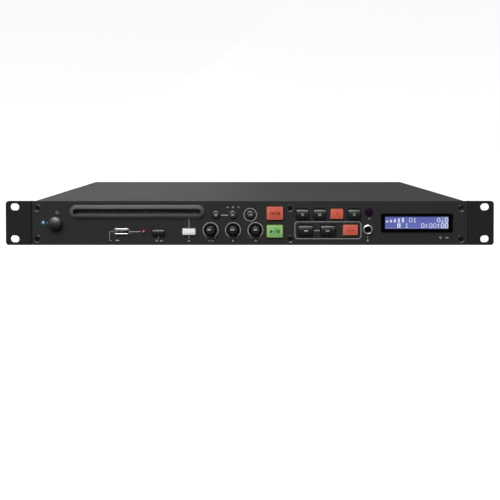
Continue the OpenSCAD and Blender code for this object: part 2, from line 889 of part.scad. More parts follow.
// A moulded key: a cap with eased edges, a lip behind the panel and a stem into its switch
module key(at, size) {
    translate([at[0], front_y, at[1]]) rotate([90, 0, 0]) {
        hull() {
            translate([0, 0, key_proud - key_edge]) linear_extrude(eps)
                round_rect(size, key_corner_r, $fn = 24);
            translate([0, 0, key_proud - eps]) linear_extrude(eps)
                round_rect(size - [key_edge, key_edge] * 1.2, key_corner_r * 0.7, $fn = 24);
        }
        translate([0, 0, -panel_t]) linear_extrude(panel_t + key_proud - key_edge)
            round_rect(size, key_corner_r);
        translate([0, 0, -panel_t - key_lip_t]) linear_extrude(key_lip_t)
            round_rect(size + [key_lip_w, key_lip_w] * 2, key_corner_r);
    }
    rod_y(stem_r, panel_back + key_lip_t - eps, stem_end, at);
}

// A round key with an eased edge
module round_key(i) {
    at = [skip_x[i], skip_z];
    rod_y(skip_r, front_y - key_proud + key_edge, panel_back, at);
    translate([at[0], front_y - key_proud + key_edge, at[1]]) rotate([90, 0, 0])
        cylinder(h = key_edge, r1 = skip_r, r2 = skip_r - key_edge * 0.6);
    rod_y(skip_r + key_lip_w, panel_back, panel_back + key_lip_t, at);
    rod_y(stem_r, panel_back + key_lip_t - eps, stem_end, at);
}

function upper_key(i) = [upper_at[0] + i * upper_pitch, upper_at[1]];
function lower_key(i) = [lower_at[0] + i * lower_pitch, lower_at[1]];

module source_button() {
    color([0.16, 0.16, 0.17]) key(source_at, source_size);
}

module eject_button() {
    color([0.93, 0.93, 0.95]) key(eject_at, eject_size);
}

module skip_back_button() {
    color([0.1, 0.1, 0.11]) round_key(0);
}

module skip_forward_button() {
    color([0.1, 0.1, 0.11]) round_key(1);
}

module skip_ten_button() {
    color([0.1, 0.1, 0.11]) round_key(2);
}

module cue_button() {
    color([0.84, 0.37, 0.32]) key(cue_at, cue_size);
}

module play_button() {
    color([0.45, 0.75, 0.45]) key(play_at, play_size);
}

module time_button() {
    color([0.13, 0.13, 0.14]) key(upper_key(0), upper_size);
}

module program_button() {
    color([0.13, 0.13, 0.14]) key(upper_key(1), upper_size);
}

module single_button() {
    color([0.84, 0.37, 0.32]) key(upper_key(2), upper_size);
}

module repeat_button() {
    color([0.13, 0.13, 0.14]) key(upper_key(3), upper_size);
}

module reverse_button() {
    color([0.13, 0.13, 0.14]) key(lower_key(0), lower_size);
}

module forward_button() {
    color([0.13, 0.13, 0.14]) key(lower_key(1), lower_size);
}

module pitch_button() {
    color([0.84, 0.37, 0.32]) key(lower_key(2), lower_size);
}

// The domed power button, on a stem that slides into its switch
module power_button() {
    dome_r = (power_r * power_r + power_dome * power_dome) / (2 * power_dome);
    color([0.14, 0.14, 0.15]) {
        rod_y(power_r, front_y - power_proud + power_dome, panel_back, power_at);
        intersection() {
            rod_y(power_r, front_y - power_proud - 1, front_y - power_proud + power_dome + eps, power_at);
            translate([power_at[0], front_y - power_proud + dome_r, power_at[1]]) sphere(dome_r);
        }
        rod_y(power_r + key_lip_w, panel_back, panel_back + key_lip_t, power_at);
        rod_y(power_stem_r, panel_back + key_lip_t - eps, front_y + power_stem_l, power_at);
    }
}

// The latching switch behind the power button, and its bracket on the floor
module power_switch() {
    x0 = power_lamp_at[0] - 2.5 * lamp_r;
    x1 = power_at[0] + power_case / 2 + 1;
    plate_y = front_y + switch_plate_back;
    color([0.45, 0.45, 0.46]) difference() {
        union() {
            block([x0, plate_y, sheet_t], [x1, plate_y + sheet_t, power_at[1] + power_case / 2 + 2]);
            block([x0, plate_y, sheet_t], [x1, plate_y + power_case, 2 * sheet_t]);
            slab_y(plate_y + sheet_t, plate_y + 1.5 * power_case)
                translate(power_at) square(power_case, center = true);
        }
        rod_y(power_stem_r + play, plate_y - 1,
              front_y + power_stem_l + power_travel + 1, power_at);
    }
}

// The board behind the panel, its key switches and the bodies of the level controls
module front_board() {
    bottom = board_low;
    high = tray_top - 2;
    color([0.1, 0.3, 0.16]) difference() {
        slab_y(board_y, board_y + board_t) polygon([
            [board_x[0], bottom], [board_x[1], bottom], [board_x[1], high],
            [board_step_x, high], [board_step_x, board_step_z], [board_x[0], board_step_z],
        ]);
        slab_y(board_y - 1, board_y + board_t + 1)
            translate(usb_at) square(usb_size + [0.6, 0.6] + [play, play] * 2, center = true);
        slab_y(board_y - 1, board_y + board_t + 1)
            translate(mic_at) square([mic_case, mic_case] + [play, play] * 2, center = true);
    }
    color([0.1, 0.1, 0.1]) {
        for (i = [0:2]) {
            key_switch([skip_x[i], skip_z]);
            key_switch(lower_key(i));
            level_control([knob_at[0] + i * knob_pitch, knob_at[1]]);
        }
        for (i = [0:3]) key_switch(upper_key(i));
        for (at = [cue_at, play_at, source_at, eject_at]) key_switch(at);
    }
}

module key_switch(at) {
    difference() {
        slab_y(board_y - switch_depth, board_y) translate(at) square(switch_w, center = true);
        rod_y(stem_r + 0.2, board_y - switch_depth - 1, board_y - switch_depth + switch_bore, at);
    }
}

module level_control(at) {
    difference() {
        slab_y(board_y - pot_depth, board_y) translate(at) square(pot_size, center = true);
        rod_y(shaft_r + running, board_y - pot_depth - 1, board_y - pot_depth + pot_bore, at);
    }
}

// ---- Rear connectors ----

// Where the phono socket in column i and row j stands
function rca(i, j) = [rca_at[0] + i * rca_pitch[0], rca_at[1] + j * rca_pitch[1]];

module rca_sockets() {
    color([0.72, 0.72, 0.7]) for (i = [0, 1], j = [0, 1]) difference() {
        union() {
            rod_y(rca_r, wall_in, rear_y + rca_proud, rca(i, j));
            rod_y(rca_r + rca_collar_w, wall_out, wall_out + rca_collar_l, rca(i, j));
        }
        rod_y(rca_r - rca_wall, wall_in - 1, rear_y + rca_proud + 1, rca(i, j));
    }
}

// The coloured insulator of one phono socket, with its centre hole
module rca_insert(i, j) {
    difference() {
        rod_y(rca_r - rca_wall - running, wall_in, rear_y + rca_proud - 0.5, rca(i, j));
        rod_y(rca_hole_r, wall_in + 1, rear_y + rca_proud + 1, rca(i, j));
    }
}

module rca_inserts_white() {
    color([0.92, 0.92, 0.9]) for (i = [0, 1]) rca_insert(i, 1);
}

module rca_inserts_red() {
    color([0.85, 0.12, 0.1]) for (i = [0, 1]) rca_insert(i, 0);
}

// Two three-pin outputs: a round collar through the wall and a flange behind it
module xlr_sockets() {
    color([0.1, 0.1, 0.11]) for (x = xlr_x) difference() {
        union() {
            rod_y(xlr_r, connector_back, collar_y, [x, xlr_z]);
            slab_y(wall_in - flange_t, wall_in) translate([x, xlr_z]) round_rect(dsize, 2);
        }
        rod_y(xlr_cavity_r, xlr_floor, collar_y + 1, [x, xlr_z]);
        slab_y(xlr_floor, collar_y + 1)
            translate([x, xlr_z + xlr_cavity_r]) square([3, 2], center = true);
        dsize_holes([x, xlr_z], wall_in - flange_t - 1, wall_in + 1);
    }
}

// Pins of the three-pin outputs and of the mains inlet
module contact_pins() {
    color([0.85, 0.68, 0.35]) {
        for (x = xlr_x, at = [[-3.47, 0.5], [3.47, 0.5], [0, -pin_circle_r]])
            pin([x + at[0], xlr_z + at[1]], xlr_floor, xlr_floor + 12);
        for (s = [-1, 1])
            pin(inlet_at + [s * mains_pitch / 2, 0], inlet_floor, inlet_floor + 10);
    }
}

module pin(at, y0, y1) {
    rod_y(pin_r, y0, y1 - pin_r, at);
    translate([at[0], y1 - pin_r, at[1]]) sphere(pin_r);
}

module combo_jack() {
    color([0.62, 0.62, 0.64]) difference() {
        union() {
            rod_y(combo_r, connector_back, collar_y, combo_at);
            slab_y(wall_in - flange_t, wall_in) translate(combo_at) round_rect(dsize, 2);
        }
        difference() {
            rod_y(groove_r, collar_y - 12, collar_y + 1, combo_at);
            rod_y(insert_r, collar_y - 13, collar_y - 1, combo_at);
        }
        rod_y(jack_r, connector_back + 2, collar_y + 1, combo_at);
        for (turn = [0:90:270])
            rod_y(pin_r, collar_y - 9, collar_y + 1, combo_at + 4.8 * [cos(turn), sin(turn)]);
        slab_y(latch_end - latch_travel - play, collar_y + 1)
            translate(latch_at) square(latch_size + [play, play] * 2, center = true);
        dsize_holes(combo_at, wall_in - flange_t - 1, wall_in + 1);
    }
}

// The sprung tab that releases the plug
module combo_latch() {
    color([0.78, 0.77, 0.74]) {
        slab_y(latch_end, rear_y + 2.4) translate(latch_at) round_rect(latch_size, 0.8);
    }
}

module mains_inlet() {
    color([0.09, 0.09, 0.1]) difference() {
        union() {
            slab_y(inlet_floor - 6, rear_y + 1.4) translate(inlet_at) round_rect(inlet_size, 3);
            slab_y(wall_in - flange_t, wall_in)
                translate(inlet_at) round_rect([2 * inlet_screw_x + 8, inlet_size[1] + 1], 3);
        }
        slab_y(inlet_floor, rear_y + 2) translate(inlet_at) {
            square([mains_pitch, 6.6], center = true);
            for (s = [-1, 1]) translate([s * mains_pitch / 2, 0]) circle(4.3);
        }
        for (s = [-1, 1])
            rod_y(screw_hole_r, wall_in - flange_t - 1, wall_in + 1,
                  [inlet_at[0] + s * inlet_screw_x, inlet_at[1]]);
    }
}

// ---- Boards inside the case ----

// The main board on its posts, and the audio board with the phono sockets' block
module circuit_boards() {
    top = board_z + board_t;
    block_low = rca_at - rca_block_edge;
    block_high = rca(1, 1) + rca_block_edge;
    color([0.1, 0.3, 0.16]) {
        block([main_x[0], main_y[0], board_z], [main_x[1], main_y[1], top]);
        block([combo_at[0] - dsize[0] / 2, connector_back - board_t, audio_low],
              [block_high[0], connector_back, tray_top - audio_gap]);
    }
    color([0.12, 0.12, 0.13]) {
        for (i = [0:chip_n - 1]) translate([main_x[0] + chip_in + i * chip_pitch, chip_y, top])
            cube([chip_w, chip_w, chip_h]);
        block([block_low[0], connector_back, block_low[1]], [block_high[0], wall_in, block_high[1]]);
    }
    color([0.2, 0.22, 0.4]) for (i = [0:can_n - 1])
        translate([main_x[0] + can_in + i * can_pitch, can_y, top]) cylinder(h = can_h, r = can_r);
    color([0.75, 0.65, 0.3]) board_posts(main_x, main_y);
}

// The power supply's board: transformer, capacitors and a finned heat sink
module power_supply() {
    top = board_z + board_t;
    x = (supply_x[0] + supply_x[1]) / 2;
    y = (supply_y[0] + supply_y[1]) / 2;
    color([0.75, 0.65, 0.4])
        block([supply_x[0], supply_y[0], board_z], [supply_x[1], supply_y[1], top]);
    color([0.75, 0.65, 0.3]) board_posts(supply_x, supply_y);
    color([0.85, 0.75, 0.2]) translate([x - coil_size[0] / 6, y - coil_size[1], top]) cube(coil_size);
    color([0.15, 0.15, 0.3]) {
        translate([x - 2.5 * big_can_r, y - 2 * big_can_r, top]) cylinder(h = big_can_h, r = big_can_r);
        for (i = [0:2]) translate([x + 7 * can_r, y - (6 - 3 * i) * can_r, top])
            cylinder(h = can_h + can_r, r = can_r);
    }
    color([0.7, 0.7, 0.72]) translate([x - fin_pitch, y + fin_pitch * 2, top]) {
        for (i = [0:fin_n - 1]) translate([i * fin_pitch, 0, 0]) cube([fin_t, fin_l, fin_h]);
        cube([(fin_n - 1) * fin_pitch + fin_t, fin_l, fin_t]);
    }
}

// ---- Disc loader ----

// Folded frame: a deck under the disc, two walls and feet on the tray's floor
module loader_frame() {
    color([0.68, 0.69, 0.71]) translate([slot_x, 0, 0]) difference() {
        union() {
            block([-loader_w / 2, loader_front, deck_low], [loader_w / 2, loader_rear, deck_top]);
            for (s = [0, 1]) mirror([s, 0, 0]) {
                block([wall_x, loader_front, deck_low - wall_drop],
                      [loader_w / 2, loader_rear, loader_high]);
                block([wall_x, loader_low_front, sheet_t], [loader_w / 2, loader_rear, loader_high]);
                translate([wall_x - foot_w, loader_rear - foot_back, sheet_t])
                    cube([foot_w, foot_l, sheet_t]);
                translate([wall_x - foot_w, loader_low_front, sheet_t])
                    cube([foot_w, front_foot_l, sheet_t]);
            }
        }
        block([-arm_x, roller_y - roller_r - roller_gap, deck_low - 1],
              [arm_x, roller_y + roller_r + roller_gap, deck_top + 1]);
        block([-gear_x - gear_w - gear_gap, roller_y - gear_tip - gear_gap, deck_low - 1],
              [-arm_x + arm_gap, roller_y + gear_tip + arm_cut, deck_top + 1]);
        block([arm_x - arm_gap, roller_y - roller_r, deck_low - 1],
              [arm_x + arm_t + gear_w + arm_gap, roller_y + gear_tip + arm_cut, deck_top + 1]);
        translate([0, spindle_y, deck_low - 1]) cylinder(h = loader_t + 2, r = table_r + table_gap);
        block([-sled_w / 2 - sled_gap, spindle_y + sled_gap, deck_low - 1],
              [screw_x + sled_motor[0] / 2 + 1, rod_y[1] + sled_gap, deck_top + 1]);
        for (y = lug_y, s = [-1, 1]) lift_slot(s, y);
        for (s = [-1, 1])
            rod_x(pivot_r + running, s * loader_w / 2 - wall_cut, s * loader_w / 2 + wall_cut,
                  pivot_y, pivot_z);
    }
}

// The upright slot that keeps a lift pin from moving along the case
module lift_slot(s, y) {
    r = lift_pin_r + pin_gap;
    x0 = s * loader_w / 2 - wall_cut;
    x1 = s * loader_w / 2 + wall_cut;
    rod_x(r, x0, x1, y, lug_z);
    rod_x(r, x0, x1, y, lug_z + lift);
    block([x0, y - r, lug_z], [x1, y + r, lug_z + lift]);
}

// The plate over the disc, with the eye that the clamp hangs in
module loader_top() {
    color([0.68, 0.69, 0.71]) translate([slot_x, 0, loader_high]) difference() {
        translate([-loader_w / 2, loader_low_front, 0])
            cube([loader_w, loader_rear - loader_low_front, loader_t]);
        translate([0, spindle_y, -1]) cylinder(h = loader_t + 2, r = puck_neck_r + play);
        for (s = [-1, 1], y = [spindle_y, spindle_y + top_hole_at[1]])
            translate([s * top_hole_at[0], y, -1]) cylinder(h = loader_t + 2, r = top_hole_r);
    }
}

module clamp_puck() {
    color([0.2, 0.2, 0.22]) translate([slot_x, spindle_y, 0]) difference() {
        union() {
            translate([0, 0, puck_low]) cylinder(h = puck_flange_t, r = puck_r);
            translate([0, 0, puck_low])
                cylinder(h = loader_high + loader_t - puck_low + eps, r = puck_neck_r);
            translate([0, 0, loader_high + loader_t]) cylinder(h = loader_t, r = puck_cap_r);
        }
        translate([0, 0, puck_low - 1]) cylinder(h = puck_eye_h + 1, r = puck_eye_r);
    }
}

// The tilting bridge that carries the feed roller and its motor
module roller_carriage() {
    color([0.55, 0.56, 0.58]) translate([slot_x, 0, 0]) {
        difference() {
            union() {
                for (s = [0, 1]) mirror([s, 0, 0]) {
                    translate([arm_x, 0, 0]) carriage_arm();
                    rod_x(pivot_r, arm_x + arm_t - eps, loader_w / 2, pivot_y, pivot_z);
                }
                block([-arm_x - eps, pivot_y + bridge_y[0], pivot_z - bridge_drop - arm_t],
                      [arm_x + eps, pivot_y + bridge_y[1], pivot_z - bridge_drop]);
            }
            rod_x(roller_shaft_r + running, -arm_x - arm_t - 1, arm_x + arm_t + 1, roller_y, roller_z);
            rod_x(pinion_shaft_r + play, -arm_x - arm_t - 1, -arm_x + 0.1, pinion_y, pinion_z);
        }
    }
    color([0.5, 0.5, 0.52]) translate([slot_x, 0, 0]) difference() {
        rod_x(motor_r, -arm_x, -arm_x + motor_l, pinion_y, pinion_z);
        rod_x(pinion_shaft_r + running, -arm_x - 1, -arm_x + pinion_bore, pinion_y, pinion_z);
    }
}

// One side arm, from the roller's bearing back to the pivot and down to the motor
module carriage_arm() {
    hull() {
        rod_x(arm_r, 0, arm_t, roller_y, roller_z, $fn = 32);
        rod_x(arm_r, 0, arm_t, pivot_y, pivot_z, $fn = 32);
        rod_x(arm_motor_r, 0, arm_t, pinion_y, pinion_z, $fn = 32);
    }
}

// A gear's outline: straight-sided teeth, narrower than their gaps
module gear_outline(teeth) {
    pitch_r = tooth_m * teeth / 2;
    root_r = pitch_r - 1.15 * tooth_m;
    tip_r = pitch_r + 0.85 * tooth_m;
    step = 360 / teeth;
    polygon([for (i = [0:teeth - 1], p = [[-0.36, root_r], [-0.13, tip_r], [0.13, tip_r], [0.36, root_r]])
        p[1] * [cos((i + p[0]) * step), sin((i + p[0]) * step)]]);
}

// A gear with its axis along X, turned by phase about it
module gear_x_axis(teeth, x0, y, z, phase) {
    translate([x0, y, z]) rotate([90, 0, 90]) rotate(phase) linear_extrude(gear_w) gear_outline(teeth);
}

// The rubber roller, thinner at its middle, with its shaft and gear
module feed_roller() {
    color([0.12, 0.12, 0.12]) translate([slot_x, roller_y, roller_z]) {
        for (s = [0, 1]) mirror([s, 0, 0]) rotate([0, 90, 0])
            cylinder(h = roller_half, r1 = roller_r - roller_waist, r2 = roller_r);
    }
    color([0.75, 0.75, 0.76]) translate([slot_x, 0, 0])
        rod_x(roller_shaft_r, -gear_x - gear_w, arm_x + arm_t + 0.8, roller_y, roller_z);
    color([0.85, 0.85, 0.8]) translate([slot_x, 0, 0])
        gear_x_axis(roller_teeth, -gear_x - gear_w, roller_y, roller_z, motor_angle);
}

module motor_pinion() {
    color([0.85, 0.85, 0.8]) translate([slot_x, 0, 0]) {
        gear_x_axis(pinion_teeth, -gear_x - gear_w, pinion_y, pinion_z,
                    motor_angle + 180 + 180 / pinion_teeth);
        rod_x(pinion_shaft_r, -gear_x - gear_w, -arm_x + pinion_bore, pinion_y, pinion_z);
    }
}

// Two cam plates joined by a bar: sliding them back lifts the disc unit
module cam_slider() {
    color([0.6, 0.61, 0.63]) translate([slot_x, 0, 0]) {
        for (s = [0, 1]) mirror([s, 0, 0]) difference() {
            block([cam_x, cam_y[0], cam_z[0]], [cam_x + loader_t, cam_y[1], cam_z[1]]);
            for (y = lug_y) cam_slot(y);
        }
        block([-cam_x - eps, cam_y[1] - bar_in, cam_z[0]],
              [cam_x + eps, cam_y[1] - bar_in + loader_t, bar_z]);
    }
}

// A cam slot that runs up and forward at 45 degrees from the pin's rest
module cam_slot(y) {
    r = lift_pin_r + pin_gap;
    rod_x(r, cam_x - 1, cam_x + loader_t + 1, y, lug_z);
    rod_x(r, cam_x - 1, cam_x + loader_t + 1, y - lift, lug_z + lift);
    translate([cam_x - 1, y, lug_z]) rotate([-45, 0, 0])
        translate([0, -lift * sqrt(2), -r]) cube([loader_t + 2, lift * sqrt(2), 2 * r]);
}

// The plate of the disc unit, its four lift pins, and the rods that guide the laser sled
module traverse_frame() {
    color([0.62, 0.63, 0.65]) translate([slot_x, 0, 0]) {
        difference() {
            union() {
                block([-plate_x, plate_y[0], plate_low], [plate_x, plate_y[1], plate_top]);
                for (s = [0, 1], y = lug_y) mirror([s, 0, 0]) {
                    block([plate_x - loader_t, y - lug_half, plate_low],
                          [plate_x, y + lug_half, lug_z + 2 * lift_pin_r]);
                    rod_x(lift_pin_r, plate_x - eps, loader_w / 2, y, lug_z);
                }
                for (s = [-1, 1], y = [rod_y[0], rod_y[1] - rod_block[1]])
                    translate([s * rod_x - rod_block[0] / 2, y, plate_top - eps]) cube(rod_block);
            }
            for (s = [-1, 1])
                rod_y(rod_r, rod_y[0] - 1, rod_y[1] + 1, [s * rod_x, rod_z]);
        }
        for (s = [-1, 1]) rod_y(rod_r, rod_y[0], rod_y[1], [s * rod_x, rod_z]);
    }
}

// The spindle motor and the sled motor, both fixed to the disc unit's plate
module traverse_motors() {
    color([0.5, 0.5, 0.52]) translate([slot_x, 0, 0]) {
        difference() {
            translate([0, spindle_y, plate_top]) cylinder(h = motor_h, r = spindle_motor_r);
            translate([0, spindle_y, plate_top + 1]) cylinder(h = motor_h, r = spindle_shaft_r + running);
        }
        difference() {
            translate([screw_x - sled_motor[0] / 2, rod_y[1] - sled_motor_in - sled_motor[1], plate_top])
                cube(sled_motor);
            rod_y(lead_r + running, rod_y[1] - 2 * sled_motor[1], rod_y[1] - lead_end + 0.2,
                  [screw_x, rod_z]);
        }
        difference() {
            translate([screw_x - lead_rest[0] / 2, rod_y[0], plate_top]) cube(lead_rest);
            rod_y(lead_r + running, rod_y[0] + lead_start - 0.2, rod_y[0] + lead_rest[1] + 1,
                  [screw_x, rod_z]);
        }
    }
}

module turntable() {
    color([0.14, 0.14, 0.15]) translate([slot_x, spindle_y, 0]) {
        translate([0, 0, table_top - table_t]) cylinder(h = table_t, r = table_r);
        translate([0, 0, table_top - eps])
            cylinder(h = cone_top - table_top, r1 = cone_r, r2 = cone_r - cone_taper);
        translate([0, 0, plate_top + motor_h + play])
            cylinder(h = table_top - table_t - plate_top - motor_h, r = hub_r);
        translate([0, 0, plate_top + table_shaft_low])
            cylinder(h = table_top - table_t - plate_top, r = spindle_shaft_r);
    }
}

// The laser sled on its two rods, with a nut for the lead screw
module pickup_sled() {
    color([0.25, 0.25, 0.27]) translate([slot_x, sled_front, 0]) difference() {
        union() {
            block([-sled_w / 2, 0, sled_low], [sled_w / 2, sled_l, sled_high]);
            block([sled_w / 2 - 1, nut_y[0], sled_low], [screw_x + nut_half, nut_y[1], sled_high]);
            translate([0, lens_y, sled_high - eps]) cylinder(h = 1, r = lens_r + lens_rim);
            translate([0, lens_y, sled_high]) sphere(lens_r - 1);
        }
        rod_y(rod_r + running, -1, sled_l + 1, [-rod_x, rod_z]);
        rod_y(rod_r + running, -1, sled_l + 1, [rod_x, rod_z]);
        rod_y(lead_r + running, nut_y[0] - 1, nut_y[1] + 1, [screw_x, rod_z]);
    }
}

module lead_screw() {
    color([0.75, 0.75, 0.76]) translate([slot_x, 0, 0])
        rod_y(lead_r, rod_y[0] + lead_start, rod_y[1] - lead_end, [screw_x, rod_z]);
}

chassis();
rear_panel();
top_cover();
front_panel();
rack_ear_left();
rack_ear_right();
panel_screws();
case_screws();
connector_screws();
slot_bezel();
slot_felt();
display_bezel();
display_module();
remote_window();
power_lamp();
usb_lamp();
mic_jack();
usb_socket();
pitch_knob();
mic_knob();
master_knob();
power_button();
source_button();
eject_button();
skip_back_button();
skip_forward_button();
skip_ten_button();
cue_button();
play_button();
time_button();
program_button();
single_button();
repeat_button();
reverse_button();
forward_button();
pitch_button();
power_switch();
front_board();
circuit_boards();
power_supply();
rca_sockets();
rca_inserts_white();
rca_inserts_red();
xlr_sockets();
contact_pins();
combo_jack();
combo_latch();
mains_inlet();
loader_frame();
loader_top();
clamp_puck();
roller_carriage();
feed_roller();
motor_pinion();
cam_slider();
traverse_frame();
traverse_motors();
turntable();
pickup_sled();
lead_screw();
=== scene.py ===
import math

import bmesh
import bpy
from bmesh.types import BMEdge, BMFace, BMVert
from mathutils import Matrix, Vector


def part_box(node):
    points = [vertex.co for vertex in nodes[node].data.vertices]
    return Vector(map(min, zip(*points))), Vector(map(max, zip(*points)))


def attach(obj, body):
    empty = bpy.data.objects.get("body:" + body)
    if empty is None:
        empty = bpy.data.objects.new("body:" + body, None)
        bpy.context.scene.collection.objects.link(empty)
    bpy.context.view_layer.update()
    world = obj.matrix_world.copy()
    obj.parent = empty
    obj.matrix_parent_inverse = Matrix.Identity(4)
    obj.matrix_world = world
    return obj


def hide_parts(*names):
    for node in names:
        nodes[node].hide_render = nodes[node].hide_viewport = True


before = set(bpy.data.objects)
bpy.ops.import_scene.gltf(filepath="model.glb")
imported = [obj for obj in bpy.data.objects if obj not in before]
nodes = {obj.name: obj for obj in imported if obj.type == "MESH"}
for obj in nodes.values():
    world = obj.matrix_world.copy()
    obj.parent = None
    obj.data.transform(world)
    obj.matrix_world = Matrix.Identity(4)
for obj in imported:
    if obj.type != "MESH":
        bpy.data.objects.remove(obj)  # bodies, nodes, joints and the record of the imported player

scene = bpy.context.scene
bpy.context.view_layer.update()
mm = 0.001  # shapes are made in millimetres, and makePiece brings them to metres
print("player: frame loaded,", len(nodes), "parts")

# The camera stands where the photograph's front view was taken from
viewpoint = {"place": (-0.00634, -0.7162, 0.1081), "pitch": 89.0, "lens": 43.152,
             "shift": (0.0132, -0.2076), "clip": (0.01, 50)}
cameraData = bpy.data.cameras.new("camera")
cameraData.lens = viewpoint["lens"]
cameraData.shift_x, cameraData.shift_y = viewpoint["shift"]
cameraData.clip_start, cameraData.clip_end = viewpoint["clip"]
camera = bpy.data.objects.new("camera", cameraData)
camera.location = viewpoint["place"]
camera.rotation_euler = (math.radians(viewpoint["pitch"]), 0, 0)
scene.collection.objects.link(camera)
scene.camera = camera


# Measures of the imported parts, in millimetres
def boxOf(node):
    return [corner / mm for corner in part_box(node)]  # low and high corner


def centreOf(node):
    low, high = boxOf(node)
    return (low + high) / 2, high - low


def spotOf(node):
    middle = centreOf(node)[0]
    return middle.x, middle.z


frontY = boxOf("front_panel")[0].y  # face of the front panel
wallY = boxOf("rear_panel")[1].y  # face of the rear wall
rearY = boxOf("top_cover")[1].y  # face of the cover's rear flanges
coverTop = boxOf("top_cover")[1].z


def depthOf(node):
    return boxOf(node)[1].y - frontY  # how far it goes in behind the panel's face


# Finishes
def addNode(material, kind, **settings):
    made = material.node_tree.nodes.new(kind)
    for key, value in settings.items():
        setattr(made, key, value)
    return made


def setInputs(node, values):
    for key, value in values.items():
        node.inputs[key].default_value = value


def join(material, start, end):
    material.node_tree.links.new(start, end)


def startFinish(name):
    material = bpy.data.materials.new(name)
    material.use_nodes = True
    shader = material.node_tree.nodes["Principled BSDF"]
    return material, shader, addNode(material, "ShaderNodeTexCoord")


def grainOf(material, coords, size, detail=2.0, stretch=(1, 1, 1)):
    mapping = addNode(material, "ShaderNodeMapping")
    mapping.inputs["Scale"].default_value = [side / (size * mm) for side in stretch]
    noise = addNode(material, "ShaderNodeTexNoise")
    setInputs(noise, {"Scale": 1.0, "Detail": detail})
    join(material, coords.outputs["Object"], mapping.inputs["Vector"])
    join(material, mapping.outputs["Vector"], noise.inputs["Vector"])
    return noise.outputs["Fac"]


def rampBetween(material, value, low, high, start=0.35, end=0.65):
    ramp = addNode(material, "ShaderNodeMapRange")
    setInputs(ramp, {"From Min": start, "From Max": end, "To Min": low, "To Max": high})
    join(material, value, ramp.inputs["Value"])
    return ramp.outputs["Result"]


def mixColours(material, factor, first, second):
    mix = addNode(material, "ShaderNodeMix", data_type="RGBA")
    join(material, factor, mix.inputs["Factor"])
    for socket, colour in ((mix.inputs[6], first), (mix.inputs[7], second)):  # its A and B
        if isinstance(colour, bpy.types.NodeSocket):
            join(material, colour, socket)
        else:
            socket.default_value = (*colour, 1)
    return mix.outputs[2]


def addBump(material, shader, height, strength, depth):
    bump = addNode(material, "ShaderNodeBump")
    setInputs(bump, {"Strength": strength, "Distance": depth * mm})
    join(material, height, bump.inputs["Height"])
    join(material, bump.outputs["Normal"], shader.inputs["Normal"])


# What a finish has unless its own row says otherwise
plainLook = dict(depth=0.04, metal=0.0, shine=0.4, coat=0.0, coatRough=0.08, stretch=(1, 1, 1),
                 patchDetail=3.0, grainDetail=2.0, fleckFrom=0.55, fleckTo=0.75)


def makeFinish(name, own):
    look = {**plainLook, **own}
    material, shader, coords = startFinish(name)
    patch = grainOf(material, coords, look["patch"], look["patchDetail"], look["stretch"])
    grain = grainOf(material, coords, look["grain"], look["grainDetail"], look["stretch"])
    colour = mixColours(material, rampBetween(material, patch, 0, 1), look["dark"], look["light"])
    if "fleck" in look:
        flecks = rampBetween(material, grain, 0, 1, look["fleckFrom"], look["fleckTo"])
        colour = mixColours(material, flecks, colour, look["fleck"])
    join(material, colour, shader.inputs["Base Color"])
    join(material, rampBetween(material, patch, *look["rough"]), shader.inputs["Roughness"])
    addBump(material, shader, grain, look["bump"], look["depth"])
    setInputs(shader, {"Metallic": look["metal"], "Specular IOR Level": look["shine"],
                       "Coat Weight": look["coat"], "Coat Roughness": look["coatRough"]})
    if "glow" in look:
        join(material, colour, shader.inputs["Emission Color"])
        shader.inputs["Emission Strength"].default_value = look["glow"]
    return material


